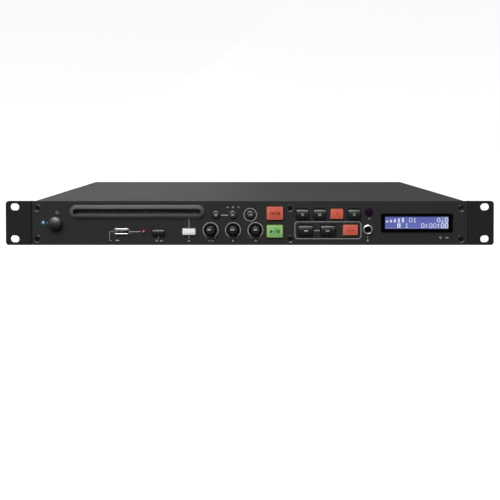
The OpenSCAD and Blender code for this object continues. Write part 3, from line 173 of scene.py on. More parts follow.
# Colours shade from dark to light in patches, and the grain gives the bump.
# The sizes of patch and grain, and the depth of the bump, are in millimetres.
looks = {
    "frontPaint": dict(dark=(0.0305, 0.0305, 0.0307), light=(0.0322, 0.0322, 0.0324),
                       rough=(0.50, 0.56), grain=0.22, bump=0.35, patch=60, shine=0.15),
    "earPaint": dict(dark=(0.0205, 0.0205, 0.0207), light=(0.0217, 0.0217, 0.0220),
                     rough=(0.48, 0.54), grain=0.22, bump=0.35, patch=45, shine=0.12),
    "coverPaint": dict(dark=(0.0130, 0.0128, 0.0127), light=(0.0140, 0.0138, 0.0137),
                       rough=(0.52, 0.56), grain=0.30, bump=0.40, patch=160, shine=0.145),
    "trayPaint": dict(dark=(0.0190, 0.0190, 0.0193), light=(0.0210, 0.0210, 0.0214),
                      rough=(0.50, 0.60), grain=0.25, bump=0.40, patch=70, shine=0.25),
    "blackNickel": dict(dark=(0.055, 0.055, 0.060), light=(0.110, 0.108, 0.105), rough=(0.22, 0.34),
                        grain=0.15, bump=0.15, patch=2, metal=1.0),
    "screwNickel": dict(dark=(0.24, 0.24, 0.235), light=(0.36, 0.355, 0.345), rough=(0.24, 0.34),
                        grain=0.15, bump=0.12, patch=2, metal=1.0),
    "rimCoat": dict(dark=(0.14, 0.14, 0.145), light=(0.20, 0.20, 0.205), rough=(0.26, 0.34),
                    grain=0.15, bump=0.12, patch=4, metal=0.9),
    "rimPlastic": dict(dark=(0.086, 0.086, 0.088), light=(0.096, 0.096, 0.098), rough=(0.42, 0.50),
                       grain=0.18, bump=0.25, patch=30, shine=0.12),
    "felt": dict(dark=(0.085, 0.078, 0.080), light=(0.115, 0.106, 0.108), rough=(0.9, 1.0),
                 grain=0.12, bump=1.0, depth=0.12, patch=4, shine=0.1),
    "glossBlack": dict(dark=(0.0015, 0.0015, 0.0018), light=(0.0025, 0.0025, 0.0030),
                       rough=(0.24, 0.30), grain=0.3, bump=0.05, patch=20, shine=0.04),
    # Near black, darker than any real surface: painted shade in the gap round each knob
    "recess": dict(dark=(0.0008, 0.0008, 0.0008), light=(0.0012, 0.0012, 0.0012),
                   rough=(0.85, 0.95), grain=0.2, bump=0.1, patch=5, shine=0.03),
    "domeKey": dict(dark=(0.012, 0.012, 0.0125), light=(0.015, 0.015, 0.0155), rough=(0.52, 0.56),
                    grain=0.16, bump=0.12, patch=8, shine=0.9),
    "knobPlastic": dict(dark=(0.015, 0.015, 0.015), light=(0.024, 0.024, 0.024), rough=(0.28, 0.36),
                        grain=0.2, bump=0.15, patch=5, shine=0.55),
    "darkKey": dict(dark=(0.008, 0.008, 0.009), light=(0.011, 0.011, 0.012), rough=(0.45, 0.50),
                    grain=0.16, bump=0.12, patch=8, shine=0.55),
    "moulding": dict(dark=(0.0055, 0.0055, 0.0058), light=(0.0090, 0.0090, 0.0095),
                     rough=(0.25, 0.36), grain=0.2, bump=0.15, patch=9, shine=0.5),
    "nickel": dict(dark=(0.62, 0.61, 0.59), light=(0.76, 0.75, 0.73), rough=(0.14, 0.24),
                   grain=0.12, bump=0.08, patch=3, metal=1.0),
    "softNickel": dict(dark=(0.70, 0.69, 0.67), light=(0.82, 0.81, 0.79), rough=(0.34, 0.42),
                       grain=0.12, bump=0.08, patch=3, metal=1.0),
    "latchMetal": dict(dark=(0.52, 0.48, 0.42), light=(0.66, 0.61, 0.54), rough=(0.34, 0.46),
                       grain=0.2, bump=0.2, patch=2, metal=0.85),
    "insertGrey": dict(dark=(0.045, 0.045, 0.048), light=(0.070, 0.070, 0.074), rough=(0.30, 0.40),
                       grain=0.2, bump=0.2, patch=4, shine=0.5),
    "gold": dict(dark=(0.70, 0.50, 0.20), light=(0.86, 0.66, 0.32), rough=(0.16, 0.28), grain=0.1,
                 bump=0.08, patch=1.5, metal=1.0),
    "whiteInsulator": dict(dark=(0.78, 0.78, 0.75), light=(0.88, 0.88, 0.86), rough=(0.28, 0.38),
                           grain=0.2, bump=0.1, patch=3),
    "redInsulator": dict(dark=(0.42, 0.014, 0.012), light=(0.60, 0.030, 0.024), rough=(0.28, 0.38),
                         grain=0.2, bump=0.1, patch=3),
    "boardMask": dict(dark=(0.010, 0.050, 0.018), light=(0.016, 0.085, 0.030), rough=(0.30, 0.45),
                      grain=0.5, bump=0.25, patch=6, fleck=(0.10, 0.16, 0.06)),
    "zincSteel": dict(dark=(0.44, 0.45, 0.47), light=(0.60, 0.61, 0.62), rough=(0.30, 0.45),
                      grain=0.3, bump=0.2, patch=12, metal=1.0, stretch=(1, 0.12, 1)),
    "rubber": dict(dark=(0.012, 0.012, 0.012), light=(0.022, 0.022, 0.021), rough=(0.7, 0.85),
                   grain=0.2, bump=0.5, patch=5, shine=0.25),
    "nylon": dict(dark=(0.62, 0.60, 0.52), light=(0.76, 0.74, 0.66), rough=(0.45, 0.55), grain=0.3,
                  bump=0.2, patch=3),
    "remoteLens": dict(dark=(0.012, 0.0030, 0.015), light=(0.022, 0.006, 0.028), rough=(0.10, 0.18),
                       grain=0.3, bump=0.04, patch=4, shine=0.15, coat=0.1),
    "blueLamp": dict(dark=(0.20, 0.36, 0.42), light=(0.27, 0.46, 0.52), rough=(0.15, 0.25),
                     grain=0.3, bump=0.05, patch=1.2, glow=0.22),
    "blueHalo": dict(dark=(0.006, 0.040, 0.075), light=(0.010, 0.060, 0.105), rough=(0.35, 0.45),
                     grain=0.3, bump=0.05, patch=2, glow=0.1),
    "redHalo": dict(dark=(0.055, 0.007, 0.007), light=(0.080, 0.010, 0.010), rough=(0.35, 0.45),
                    grain=0.3, bump=0.05, patch=2, glow=0.1),
    "redLamp": dict(dark=(0.20, 0.09, 0.087), light=(0.28, 0.14, 0.135), rough=(0.15, 0.25),
                    grain=0.3, bump=0.05, patch=1.2, glow=0.1),
    "ink": dict(dark=(0.42, 0.42, 0.415), light=(0.50, 0.50, 0.495), rough=(0.5, 0.6), grain=0.15,
                bump=0.15, patch=2, shine=0.1),
    "keyInk": dict(dark=(0.62, 0.62, 0.62), light=(0.74, 0.74, 0.73), rough=(0.45, 0.55),
                   grain=0.15, bump=0.1, patch=2, shine=0.3),
    "darkInk": dict(dark=(0.070, 0.016, 0.012), light=(0.100, 0.022, 0.018), rough=(0.45, 0.55),
                    grain=0.15, bump=0.1, patch=2, shine=0.3),
    "playInk": dict(dark=(0.010, 0.030, 0.010), light=(0.016, 0.045, 0.016), rough=(0.45, 0.55),
                    grain=0.15, bump=0.1, patch=2, shine=0.3),
    # The label's paper glows a little: painted light, brighter than the lamps make it
    "labelPaperPaintedGlow": dict(dark=(0.80, 0.80, 0.79), light=(0.88, 0.88, 0.87), rough=(0.55, 0.65),
                       grain=0.25, bump=0.15, patch=12, shine=0.35, glow=0.3),
    "dots": dict(dark=(0.72, 0.78, 0.92), light=(0.86, 0.90, 0.98), rough=(0.4, 0.5), grain=0.3,
                 bump=0.02, patch=9, glow=0.25),
}
finishes = {name: makeFinish(name, look) for name, look in looks.items()}

litLook = {"patch": 3.5, "detail": 2.0, "border": (0.62, 0.98), "lighter": 1.12,
           "rough": (0.36, 0.46), "grain": 0.2, "bump": 0.12, "depth": 0.03, "shine": 0.35}


def litFinish(name, centre, size, kind):
    material, shader, coords = startFinish(name)
    mapping = addNode(material, "ShaderNodeMapping")
    scaleX, scaleZ = 2 / (size[0] * mm), 2 / (size[1] * mm)  # the cap's edges come to 1
    setInputs(mapping, {"Scale": (scaleX, 0, scaleZ),
                        "Location": (-centre[0] * mm * scaleX, 0, -centre[1] * mm * scaleZ)})
    join(material, coords.outputs["Object"], mapping.inputs["Vector"])
    split = addNode(material, "ShaderNodeSeparateXYZ")
    join(material, mapping.outputs["Vector"], split.inputs["Vector"])
    reach = addNode(material, "ShaderNodeMath", operation="MAXIMUM")
    for axis, socket in zip("XZ", reach.inputs):
        side = addNode(material, "ShaderNodeMath", operation="ABSOLUTE")
        join(material, split.outputs[axis], side.inputs[0])
        join(material, side.outputs[0], socket)
    patch = grainOf(material, coords, litLook["patch"], litLook["detail"])
    border = rampBetween(material, reach.outputs[0], 0, 1, *litLook["border"])
    lighter = [level * litLook["lighter"] for level in kind["core"]]
    middle = mixColours(material, rampBetween(material, patch, 0, 1), kind["core"], lighter)
    colour = mixColours(material, border, middle, kind["edge"])
    for socket in ("Base Color", "Emission Color"):
        join(material, colour, shader.inputs[socket])
    join(material, rampBetween(material, patch, *litLook["rough"]), shader.inputs["Roughness"])
    addBump(material, shader, grainOf(material, coords, litLook["grain"]), litLook["bump"],
            litLook["depth"])
    setInputs(shader, {"Emission Strength": kind["glow"], "Specular IOR Level": litLook["shine"]})
    return material


# Shapes lie flat and rise along their own z, and a place stands them on a panel.
# A part is a pair: its shape and its place.
def frontPlace(at, y=frontY):
    return Matrix.Translation((at[0], y, at[1])) @ Matrix.Rotation(math.pi / 2, 4, "X")


def frontOf(node, y=frontY):
    return frontPlace(spotOf(node), y)


def rearPlace(at, y=rearY):
    turn = Matrix.Rotation(math.pi, 4, "Z") @ Matrix.Rotation(math.pi / 2, 4, "X")
    return Matrix.Translation((at[0], y, at[1])) @ turn


def shifted(x, y, z=0.0, turn=0.0):
    return Matrix.Translation((x, y, z)) @ Matrix.Rotation(math.radians(turn), 4, "Z")


def put(parts, place):
    return [(part, place @ own) for part, own in parts]


def only(items, kind):
    return [item for item in items if isinstance(item, kind)]


def raiseFaces(bm, faces, height):
    made = bmesh.ops.extrude_face_region(bm, geom=faces)["geom"]
    bmesh.ops.translate(bm, vec=(0, 0, height), verts=only(made, BMVert))
    return only(made, BMFace)


def easeEdges(bm, edges, offset, segments=3):
    bmesh.ops.bevel(bm, geom=edges, offset=offset, offset_type="OFFSET", affect="EDGES",
                    segments=segments, profile=0.5, material=-1, clamp_overlap=True)


def roundedBlock(size, radius, low, high, ease=0.0, segments=3):
    bm = bmesh.new()
    bmesh.ops.create_grid(bm, x_segments=1, y_segments=1, size=0.5)
    bmesh.ops.scale(bm, vec=(size[0], size[1], 1), verts=bm.verts[:])
    if radius:
        bmesh.ops.bevel(bm, geom=bm.verts[:], offset=radius, offset_type="OFFSET",
                        affect="VERTICES", segments=6, profile=0.5, material=-1)
    bmesh.ops.translate(bm, vec=(0, 0, low), verts=bm.verts[:])
    top = raiseFaces(bm, bm.faces[:], high - low)
    if ease:
        easeEdges(bm, [edge for face in top for edge in face.edges], ease, segments)
    return bm


def lathe(profile, segments=64, closed=False):
    bm = bmesh.new()
    points = [bm.verts.new((r, 0, up)) for r, up in profile]
    pairs = list(zip(points, points[1:])) + ([(points[-1], points[0])] if closed else [])
    edges = [bm.edges.new(pair) for pair in pairs]
    bmesh.ops.spin(bm, geom=points + edges, cent=(0, 0, 0), axis=(0, 0, 1), angle=math.tau,
                   steps=segments, use_merge=True)
    bmesh.ops.remove_doubles(bm, verts=bm.verts[:], dist=1e-4)
    return bm


def ringBar(inner, outer, low, high, ease, segments=64):
    soft = 0.3 * ease
    profile = [(inner, low), (outer, low), (outer, high - ease), (outer - soft, high - soft),
               (outer - ease, high), (inner + ease, high), (inner + soft, high - soft),
               (inner, high - ease)]
    return lathe(profile, segments, closed=True)


def openFrame(outer, inner, low, high, corner=0.0, ease=0.0):
    bm = bmesh.new()
    bmesh.ops.create_grid(bm, x_segments=3, y_segments=3, size=1.5)
    for vert in bm.verts:
        for axis in (0, 1):
            reach = (outer if abs(vert.co[axis]) > 1 else inner)[axis] / 2
            vert.co[axis] = math.copysign(reach, vert.co[axis])
    middle = min(bm.faces, key=lambda face: face.calc_center_median().length)
    bmesh.ops.delete(bm, geom=[middle], context="FACES")
    bmesh.ops.translate(bm, vec=(0, 0, low), verts=bm.verts[:])
    raiseFaces(bm, bm.faces[:], high - low)
    if corner:
        farX, farY = outer[0] / 2 - 1e-3, outer[1] / 2 - 1e-3
        easeEdges(bm, [edge for edge in bm.edges
                       if all(abs(v.co.x) > farX and abs(v.co.y) > farY for v in edge.verts)],
                  corner, 6)
    if ease:
        easeEdges(bm, [edge for edge in bm.edges if edge.calc_face_angle(0) > 0.5
                       and all(v.co.z > high - 1e-3 for v in edge.verts)], ease)
    return bm


def assemble(parts):
    whole = bmesh.new()
    for part, place in parts:
        bmesh.ops.recalc_face_normals(part, faces=part.faces[:])
        bmesh.ops.transform(part, matrix=place, verts=part.verts[:])
        mesh = bpy.data.meshes.new("part")
        part.to_mesh(mesh)
        part.free()
        whole.from_mesh(mesh)
        bpy.data.meshes.remove(mesh)
    bmesh.ops.recalc_face_normals(whole, faces=whole.faces[:])
    return whole


def objectOf(name, bm):
    mesh = bpy.data.meshes.new(name)
    bm.to_mesh(mesh)
    bm.free()
    made = bpy.data.objects.new(name, mesh)
    scene.collection.objects.link(made)
    return made


crease = math.radians(32)  # sharper edges than this stay crisp


def makePiece(name, parts, finish, stands=(), body="case"):
    bm = assemble(parts)
    for face in bm.faces:
        face.smooth = True
    for edge in bm.edges:
        edge.smooth = len(edge.link_faces) == 2 and edge.calc_face_angle(0) < crease
    bmesh.ops.scale(bm, vec=(mm, mm, mm), verts=bm.verts[:])
    piece = objectOf(name, bm)
    piece.data.materials.append(finishes[finish])
    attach(piece, body)
    if stands:
        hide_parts(*stands)


# Print: everything is drawn about its own middle, and stands out by its thickness
inkLook = {"low": -0.02, "thick": 0.06, "digitStep": 0.78}
digitPaths = {
    "0": [[(-0.5, -1), (-0.5, 1), (0.5, 1), (0.5, -1), (-0.5, -1)]],
    "1": [[(0, -1), (0, 1), (-0.4, 0.6)]],
    "2": [[(-0.5, 1), (0.5, 1), (0.5, 0), (-0.5, 0), (-0.5, -1), (0.5, -1)]],
    "+": [[(-0.6, 0), (0.6, 0)], [(0, -0.6), (0, 0.6)]],
    "-": [[(-0.6, 0), (0.6, 0)]],
}


def flatShape(corners, low=inkLook["low"], thick=inkLook["thick"]):
    bm = bmesh.new()
    bm.faces.new([bm.verts.new((x, y, low)) for x, y in corners])
    raiseFaces(bm, bm.faces[:], thick)
    return bm


def arrowAt(width, height, x=0, y=0, turn=0):
    corners = [(-width / 2, -height / 2), (width / 2, 0), (-width / 2, height / 2)]
    return [(flatShape(corners), shifted(x, y, 0, turn))]


def plateAt(*corners):
    return [(flatShape(corners), Matrix())]


def blockAt(length, width, x=0, y=0, radius=0):
    low = inkLook["low"]
    return [(roundedBlock((length, width), radius, low, low + inkLook["thick"]), shifted(x, y))]


def pathAt(width, *points):
    parts = []
    for start, end in zip(points, points[1:]):
        run, middle = Vector(end) - Vector(start), (Vector(end) + Vector(start)) / 2
        turn = math.degrees(math.atan2(run.y, run.x))
        parts += put(blockAt(run.length + width, width), shifted(middle.x, middle.y, 0, turn))
    return parts


def arcAt(radius, width, start=0, sweep=360, x=0, y=0):
    bm = bmesh.new()
    turn = Matrix.Rotation(math.radians(start), 4, "Z")
    ends = [bm.verts.new(turn @ Vector((radius + side * width / 2, 0, inkLook["low"])))
            for side in (-1, 1)]
    bmesh.ops.spin(bm, geom=ends + [bm.edges.new(ends)], cent=(0, 0, 0), axis=(0, 0, 1),
                   angle=math.radians(sweep), steps=max(6, int(sweep / 6)),
                   use_merge=sweep >= 360)
    raiseFaces(bm, bm.faces[:], inkLook["thick"])
    return [(bm, shifted(x, y))]


def digitsAt(text, height, width, x=0, y=0):
    parts, half = [], height / 2
    for index, digit in enumerate(text):
        middle = x + (index - (len(text) - 1) / 2) * height * inkLook["digitStep"]
        for path in digitPaths[digit]:
            parts += pathAt(width, *[(middle + over * half, y + up * half) for over, up in path])
    return parts


def draw(marks):
    return [part for maker, *values in marks for part in maker(*values)]


def signAt(name, x=0, y=0, size=1.0):
    place = Matrix.Translation((x, y, 0)) @ Matrix.Diagonal((size, size, 1, 1))
    return put(draw(signs[name]), place)


# Sizes come first, then x and y, then the turn or the corner radius.
# An arc has its radius, width, start and sweep, and a path its width and its points.
signs = {
    "skipBack": [(arrowAt, 1.5, 2.0, 0.3, 0, 180), (blockAt, 0.45, 2.0, -0.8)],
    "skipOn": [(arrowAt, 1.5, 2.0, -0.3), (blockAt, 0.45, 2.0, 0.8)],
    "windBack": [(arrowAt, 1.6, 2.0, x, 0, 180) for x in (-0.85, 0.85)],
    "windOn": [(arrowAt, 1.6, 2.0, x) for x in (-0.85, 0.85)],
    "cue": [(blockAt, 0.75, 3.2, -4.2), (arrowAt, 2.6, 3.2, -2.1, 0, 180),
            (arcAt, 1.35, 0.7, 0, 360, 2.3), (blockAt, 0.75, 3.2, 4.6)],
    "play": [(arrowAt, 3.0, 3.4, -3.2), (pathAt, 0.55, (-0.7, -1.7), (0.7, 1.7)),
             (blockAt, 1.05, 3.4, 2.4), (blockAt, 1.05, 3.4, 4.2)],
    "pitch": [(digitsAt, "-", 2.2, 0.5, -2.6), (digitsAt, "+", 2.2, 0.5, 2.6),
              (pathAt, 0.4, (-0.4, -0.9), (0.4, 0.9))],
    "one": [(digitsAt, "1", 2.0, 0.4)],
    "ten": [(digitsAt, "+10", 1.7, 0.3)],
    "clock": [(arcAt, 1.15, 0.3), (pathAt, 0.28, (0, 0.7), (0, 0), (0.5, 0))],
    "list": [(pathAt, 0.32, (-1.2, y), (1.2, y)) for y in (-0.9, 0, 0.9)],
    "loop": [(arcAt, 1.1, 0.32, 60, 280), (arrowAt, 0.9, 1.0, 0.75, 1.05, 10)],
    "power": [(arcAt, 1.25, 0.34, 120, 300), (pathAt, 0.34, (0, 0.5), (0, 1.6))],
    "eject": [(arrowAt, 1.2, 2.2, 0, 0.35, 90), (blockAt, 2.2, 0.42, 0, -0.85)],
    "mic": [(blockAt, 0.9, 1.8, 0, 0.45, 0.42), (arcAt, 0.95, 0.26, 180, 180, 0, 0.25),
            (pathAt, 0.26, (0, -0.75), (0, -1.25))],
    "speaker": [(plateAt, (-1.3, -0.5), (-0.6, -0.5), (0.3, -1.3), (0.3, 1.3), (-0.6, 0.5),
                 (-1.3, 0.5)), (arcAt, 1.1, 0.3, -40, 80), (arcAt, 1.8, 0.3, -40, 80)],
    "waves": [(arcAt, r, 0.3, 55, 70, 0, -1.2) for r in (0.9, 1.6, 2.3)],
    "stick": [(blockAt, 2.6, 1.3, -0.4, 0, 0.3), (blockAt, 0.9, 0.8, 1.5)],
    "disc": [(arcAt, 1.0, 0.34), (arcAt, 0.3, 0.2)],
}
print("player: finishes and tools ready")

# Keys: a cap that curves down towards its top edge, a lip behind the panel and a stem.
# Insets are at the sides, above and below, and a key lower than "low" has less above.
keyLook = {"proud": 1.8, "corner": 0.8, "lip": 1.0, "ease": 0.35, "panel": 2.0, "stem": 1.25,
           "switch": 3, "arc": 64, "steps": 10, "slope": 0.52, "low": 6.2, "lowShare": 0.25,
           "foot": [(0, -0.6), (0.15, -0.2), (0.5, 0)], "step": 0.12, "sharpUpTo": 0.8}
litKey = {"inset": (0.3, 0.3, 0.3), "brow": 0.174, "markUp": 0, "glow": 0.16}
keyKinds = {
    "black": {"inset": (0.45, 1.2, 0.0), "brow": 1.45, "ink": "keyInk", "markUp": -0.5},
    "white": {**litKey, "core": (0.86, 0.87, 0.90), "edge": (0.88, 0.89, 0.92), "glow": 0.10},
    "red": {**litKey, "core": (0.60, 0.105, 0.066), "edge": (0.62, 0.16, 0.12), "ink": "darkInk"},
    "green": {**litKey, "core": (0.20, 0.46, 0.16), "edge": (0.38, 0.56, 0.20), "ink": "playInk"},
}
keyTable = {
    "source": ("black", ""), "eject": ("white", ""), "cue": ("red", "cue"),
    "play": ("green", "play"), "time": ("black", "clock"), "program": ("black", "list"),
    "single": ("red", "one"), "repeat": ("black", "loop"), "reverse": ("black", "windBack"),
    "forward": ("black", "windOn"), "pitch": ("red", "pitch"),
}


def keyCap(size, brow):
    wide, half, top, foot = size[0] / 2, size[1] / 2, keyLook["proud"], -keyLook["panel"] - 0.01
    drop = min(brow, keyLook["slope"] * half)
    turn = math.radians(keyLook["arc"])
    profile = [(-half, foot)] + [(-half + across, top + up) for across, up in keyLook["foot"]]
    for step in range(keyLook["steps"] + 1):
        angle = turn * step / keyLook["steps"]
        profile.append((half * math.sin(angle) / math.sin(turn),
                        top - drop * (1 - math.cos(angle)) / (1 - math.cos(turn))))
    profile += [(half, profile[-1][1] - keyLook["step"]), (half, foot)]
    bm = bmesh.new()
    face = bm.faces.new([bm.verts.new((-wide, y, z)) for y, z in profile])
    made = bmesh.ops.extrude_face_region(bm, geom=[face])["geom"]
    bmesh.ops.translate(bm, vec=(2 * wide, 0, 0), verts=only(made, BMVert))
    bmesh.ops.recalc_face_normals(bm, faces=bm.faces[:])
    upright = []
    for edge in bm.edges:
        first, second = (vert.co for vert in edge.verts)
        atEnd = abs(abs(first.x) - wide) < 1e-3 and abs(first.x - second.x) < 1e-3
        if atEnd and min(first.z, second.z) < foot + 0.11 and max(first.z, second.z) > 0:
            upright.append(edge)
    easeEdges(bm, upright, keyLook["corner"], 4)
    easeEdges(bm, [edge for edge in bm.edges
                   if len(edge.link_faces) == 2 and edge.calc_face_angle(0) > 1.0
                   and min(v.co.z for v in edge.verts) > top - drop - keyLook["sharpUpTo"]],
              keyLook["ease"])
    return bm


for word, (kindName, sign) in keyTable.items():
    node, name, kind, slot = word + "_button", word + "Key", keyKinds[kindName], kindName + "_key"
    centre, size = centreOf(node)
    at = (centre.x, centre.z)
    aside, above, below = kind["inset"]
    above = min(above, max(0.0, keyLook["lowShare"] * (size.z - keyLook["low"])))
    capSize = (size.x - 2 * (keyLook["lip"] + aside), size.z - 2 * keyLook["lip"] - above - below)
    finish = "darkKey"
    if "core" in kind:
        finish = name + "Lit"
        finishes[finish] = litFinish(finish, at, capSize, kind)
    lip = roundedBlock((size.x, size.z), keyLook["corner"], -keyLook["panel"] - keyLook["lip"],
                       -keyLook["panel"])
    deep = depthOf(node)
    stem = bmesh.new()
    bmesh.ops.create_cone(stem, cap_ends=True, segments=24, radius1=keyLook["stem"],
                          radius2=keyLook["stem"], depth=deep - keyLook["switch"])
    stemPlace = frontPlace(at) @ shifted(0, 0, -(deep + keyLook["switch"]) / 2 + 0.005)
    cap = keyCap(capSize, kind["brow"])
    makePiece(name, [(cap, frontPlace((at[0], at[1] + (below - above) / 2))),
                     (lip, frontPlace(at)), (stem, stemPlace)], finish, [node], node)
    if sign:
        place = frontPlace((at[0], at[1] + kind["markUp"]), frontY - keyLook["proud"])
        makePiece(name + "Mark", put(signAt(sign), place), kind["ink"], body=node)

# Round keys: turned caps with a soft shoulder
roundLook = {"shoulder": [(0, -1.1), (0.2, -0.65), (0.6, -0.35), (1.2, -0.15), (2.2, -0.04)]}
roundTable = {"skip_back_button": ("skipBackKey", "skipBack"),
              "skip_forward_button": ("skipForwardKey", "skipOn"),
              "skip_ten_button": ("skipTenKey", "ten")}
for node, (name, sign) in roundTable.items():
    deep, stem = depthOf(node), keyLook["stem"]
    radius = centreOf(node)[1].x / 2 - keyLook["lip"]
    top, base = keyLook["proud"], -keyLook["panel"]
    profile = [(0, -deep), (stem, -deep), (stem, base - 1), (radius + 1, base - 1),
               (radius + 1, base), (radius, base)]
    profile += [(radius - inward, top + up) for inward, up in roundLook["shoulder"]] + [(0, top)]
    makePiece(name, [(lathe(profile, 48), frontOf(node))], "domeKey", [node], node)
    makePiece(name + "Mark", put(signAt(sign), frontOf(node, frontY - top)), "keyInk",
              body=node)

# Power button: a long dome
powerLook = {"proud": 6.0, "dome": 3.4, "lip": 1.0, "stem": 2.5, "steps": 10, "edge": 0.25,
             "edgeDown": 0.12, "side": 0.7, "panel": 2.0}
node = "power_button"
deep, stem, domeTop, dome = depthOf(node), powerLook["stem"], powerLook["proud"], powerLook["dome"]
radius = centreOf(node)[1].x / 2 - powerLook["lip"]
domeRadius = (radius ** 2 + dome ** 2) / (2 * dome)
base = -powerLook["panel"]
profile = [(0, -deep), (stem, -deep), (stem, base - 1), (radius + 1, base - 1),
           (radius + 1, base), (radius, base), (radius, domeTop - dome - powerLook["side"])]
for step in range(powerLook["steps"] + 1):
    r = (radius - powerLook["edge"]) * (1 - step / powerLook["steps"])
    sunk = powerLook["edgeDown"] if step == 0 else 0
    profile.append((r, domeTop - domeRadius + math.sqrt(domeRadius ** 2 - r * r) - sunk))
makePiece("powerButton", [(lathe(profile), frontOf(node))], "domeKey", [node], node)

# Level knobs: a fluted body with a domed cap and a white dash, on a flat skirt.
# "dashOver" moves each dash to the side, as it is in the photograph.
# The white dash is a pointer mark and a painted highlight on the cap at once
knobLook = {"radius": 4.3, "proud": 4.5, "lobes": 8, "lobe": 0.13, "lobeTurn": 15, "ease": 0.4,
            "skirt": 5.5, "shaft": 3.0, "cap": 3.05, "rise": 0.45, "dash": (3.6, 1.0),
            "dashUp": 0.9, "dashOver": {"pitch": -1.2, "mic": -0.4, "master": 0.0}}


def fluted(radius, low, high):
    bm = bmesh.new()
    bmesh.ops.create_circle(bm, cap_ends=True, segments=120, radius=radius)
    for vert in bm.verts:
        angle = math.atan2(vert.co.y, vert.co.x) + math.radians(knobLook["lobeTurn"])
        wave = max(0.0, math.cos(knobLook["lobes"] * angle)) ** 2
        vert.co *= 1 - knobLook["lobe"] * wave
    bmesh.ops.translate(bm, vec=(0, 0, low), verts=bm.verts[:])
    top = raiseFaces(bm, bm.faces[:], high - low)
    easeEdges(bm, [edge for face in top for edge in face.edges], knobLook["ease"])
    return bm


for word, over in knobLook["dashOver"].items():
    node, name = word + "_knob", word + "Knob"
    at, deep = spotOf(node), depthOf(node)
    shaft, skirt, radius, cap = (knobLook[key] for key in ("shaft", "skirt", "radius", "cap"))
    shoulder = knobLook["proud"] - knobLook["rise"]
    base = lathe([(0, -deep), (shaft, -deep), (shaft, -0.4), (skirt, -0.4), (skirt, 0.3),
                  (skirt - 0.25, 0.5), (radius - 0.2, 0.7), (0, 0.7)])
    dome = [(0, shoulder - 0.1), (cap, shoulder - 0.1)]
    for angle in (math.radians(15 * step) for step in range(7)):
        dome.append((cap * math.cos(angle), shoulder + knobLook["rise"] * math.sin(angle)))
    shapes = [base, fluted(radius, 0.65, shoulder), lathe(dome)]
    makePiece(name, [(shape, frontOf(node)) for shape in shapes], "knobPlastic",
              [node], node)
    # A near-black ring round the skirt is painted shade in the gap the knob sits in
    foot = lathe([(radius + 0.1, -0.3), (skirt + 0.35, -0.3), (skirt + 0.35, 0.35),
                  (skirt + 0.2, 0.52), (radius + 0.1, 0.72)], closed=True)
    makePiece(name + "SkirtShade", [(foot, frontOf(node))], "recess", body=node)
    # The dash: a white mark that also paints the highlight on the knob's cap
    dash = roundedBlock(knobLook["dash"], 0.4, -0.35, 0.06, 0.05, 2)
    dashAt = (at[0] + over, at[1] + knobLook["dashUp"])
    makePiece(name + "DashHighlight", [(dash, frontPlace(dashAt, frontY - knobLook["proud"]))], "keyInk",
              body=node)

# Rim of the disc slot: one outline, given across its width and up its height, swept round
rimLook = {"width": 4.1, "proud": 2.2, "spigot": 1.5,
           "curve": [(0, 0.55), (0.01, 0.8), (0.05, 0.94), (0.12, 1.0), (0.22, 0.98), (0.4, 0.87),
                     (0.6, 0.70), (0.8, 0.52), (0.9, 0.41), (0.96, 0.27), (1, 0)]}
size = centreOf("slot_bezel")[1]
rimAt = spotOf("slot_bezel")
slotHeight = size.z - 2 * rimLook["width"]
slotRun = size.x - size.z


def rimSweep():
    bm = bmesh.new()
    inner, deep = slotHeight / 2, depthOf("slot_bezel")
    outline = [(inner + rimLook["width"] * over, rimLook["proud"] * up)
               for over, up in rimLook["curve"]]
    spigot = inner + rimLook["spigot"]
    outline += [(spigot, 0), (spigot, -deep), (inner, -deep)]
    verts = [bm.verts.new((slotRun / 2, -r, up)) for r, up in outline]
    last = verts + [bm.edges.new(pair) for pair in zip(verts, verts[1:] + verts[:1])]
    for side in (1, -1):
        turned = bmesh.ops.spin(bm, geom=last, cent=(side * slotRun / 2, 0, 0), axis=(0, 0, 1),
                                angle=math.pi, steps=24)["geom_last"]
        drawn = bmesh.ops.extrude_edge_only(bm, edges=only(turned, BMEdge))["geom"]
        bmesh.ops.translate(bm, vec=(-side * slotRun, 0, 0), verts=only(drawn, BMVert))
        last = [item for item in drawn if not isinstance(item, BMFace)]
    bmesh.ops.remove_doubles(bm, verts=bm.verts[:], dist=1e-3)
    return bm


makePiece("slotRim", [(rimSweep(), frontPlace(rimAt))], "rimPlastic", ["slot_bezel"])

# Felt flaps that close the slot but for a thin gap
curtainLook = {"gap": 0.3, "thick": 0.5, "back": 2.6, "longer": 3.6}
flapSize = (slotRun + curtainLook["longer"], slotHeight / 2 - curtainLook["gap"] / 2 - 0.02)
curtain = []
for side in (-1, 1):
    flap = roundedBlock(flapSize, 0.2, -curtainLook["thick"], 0, 0.12, 2)
    flapAt = (rimAt[0], rimAt[1] + side * (slotHeight + curtainLook["gap"]) / 4)
    curtain.append((flap, frontPlace(flapAt, frontY + curtainLook["back"])))
makePiece("slotCurtain", curtain, "felt")
print("player: keys, knobs and slot rim made")

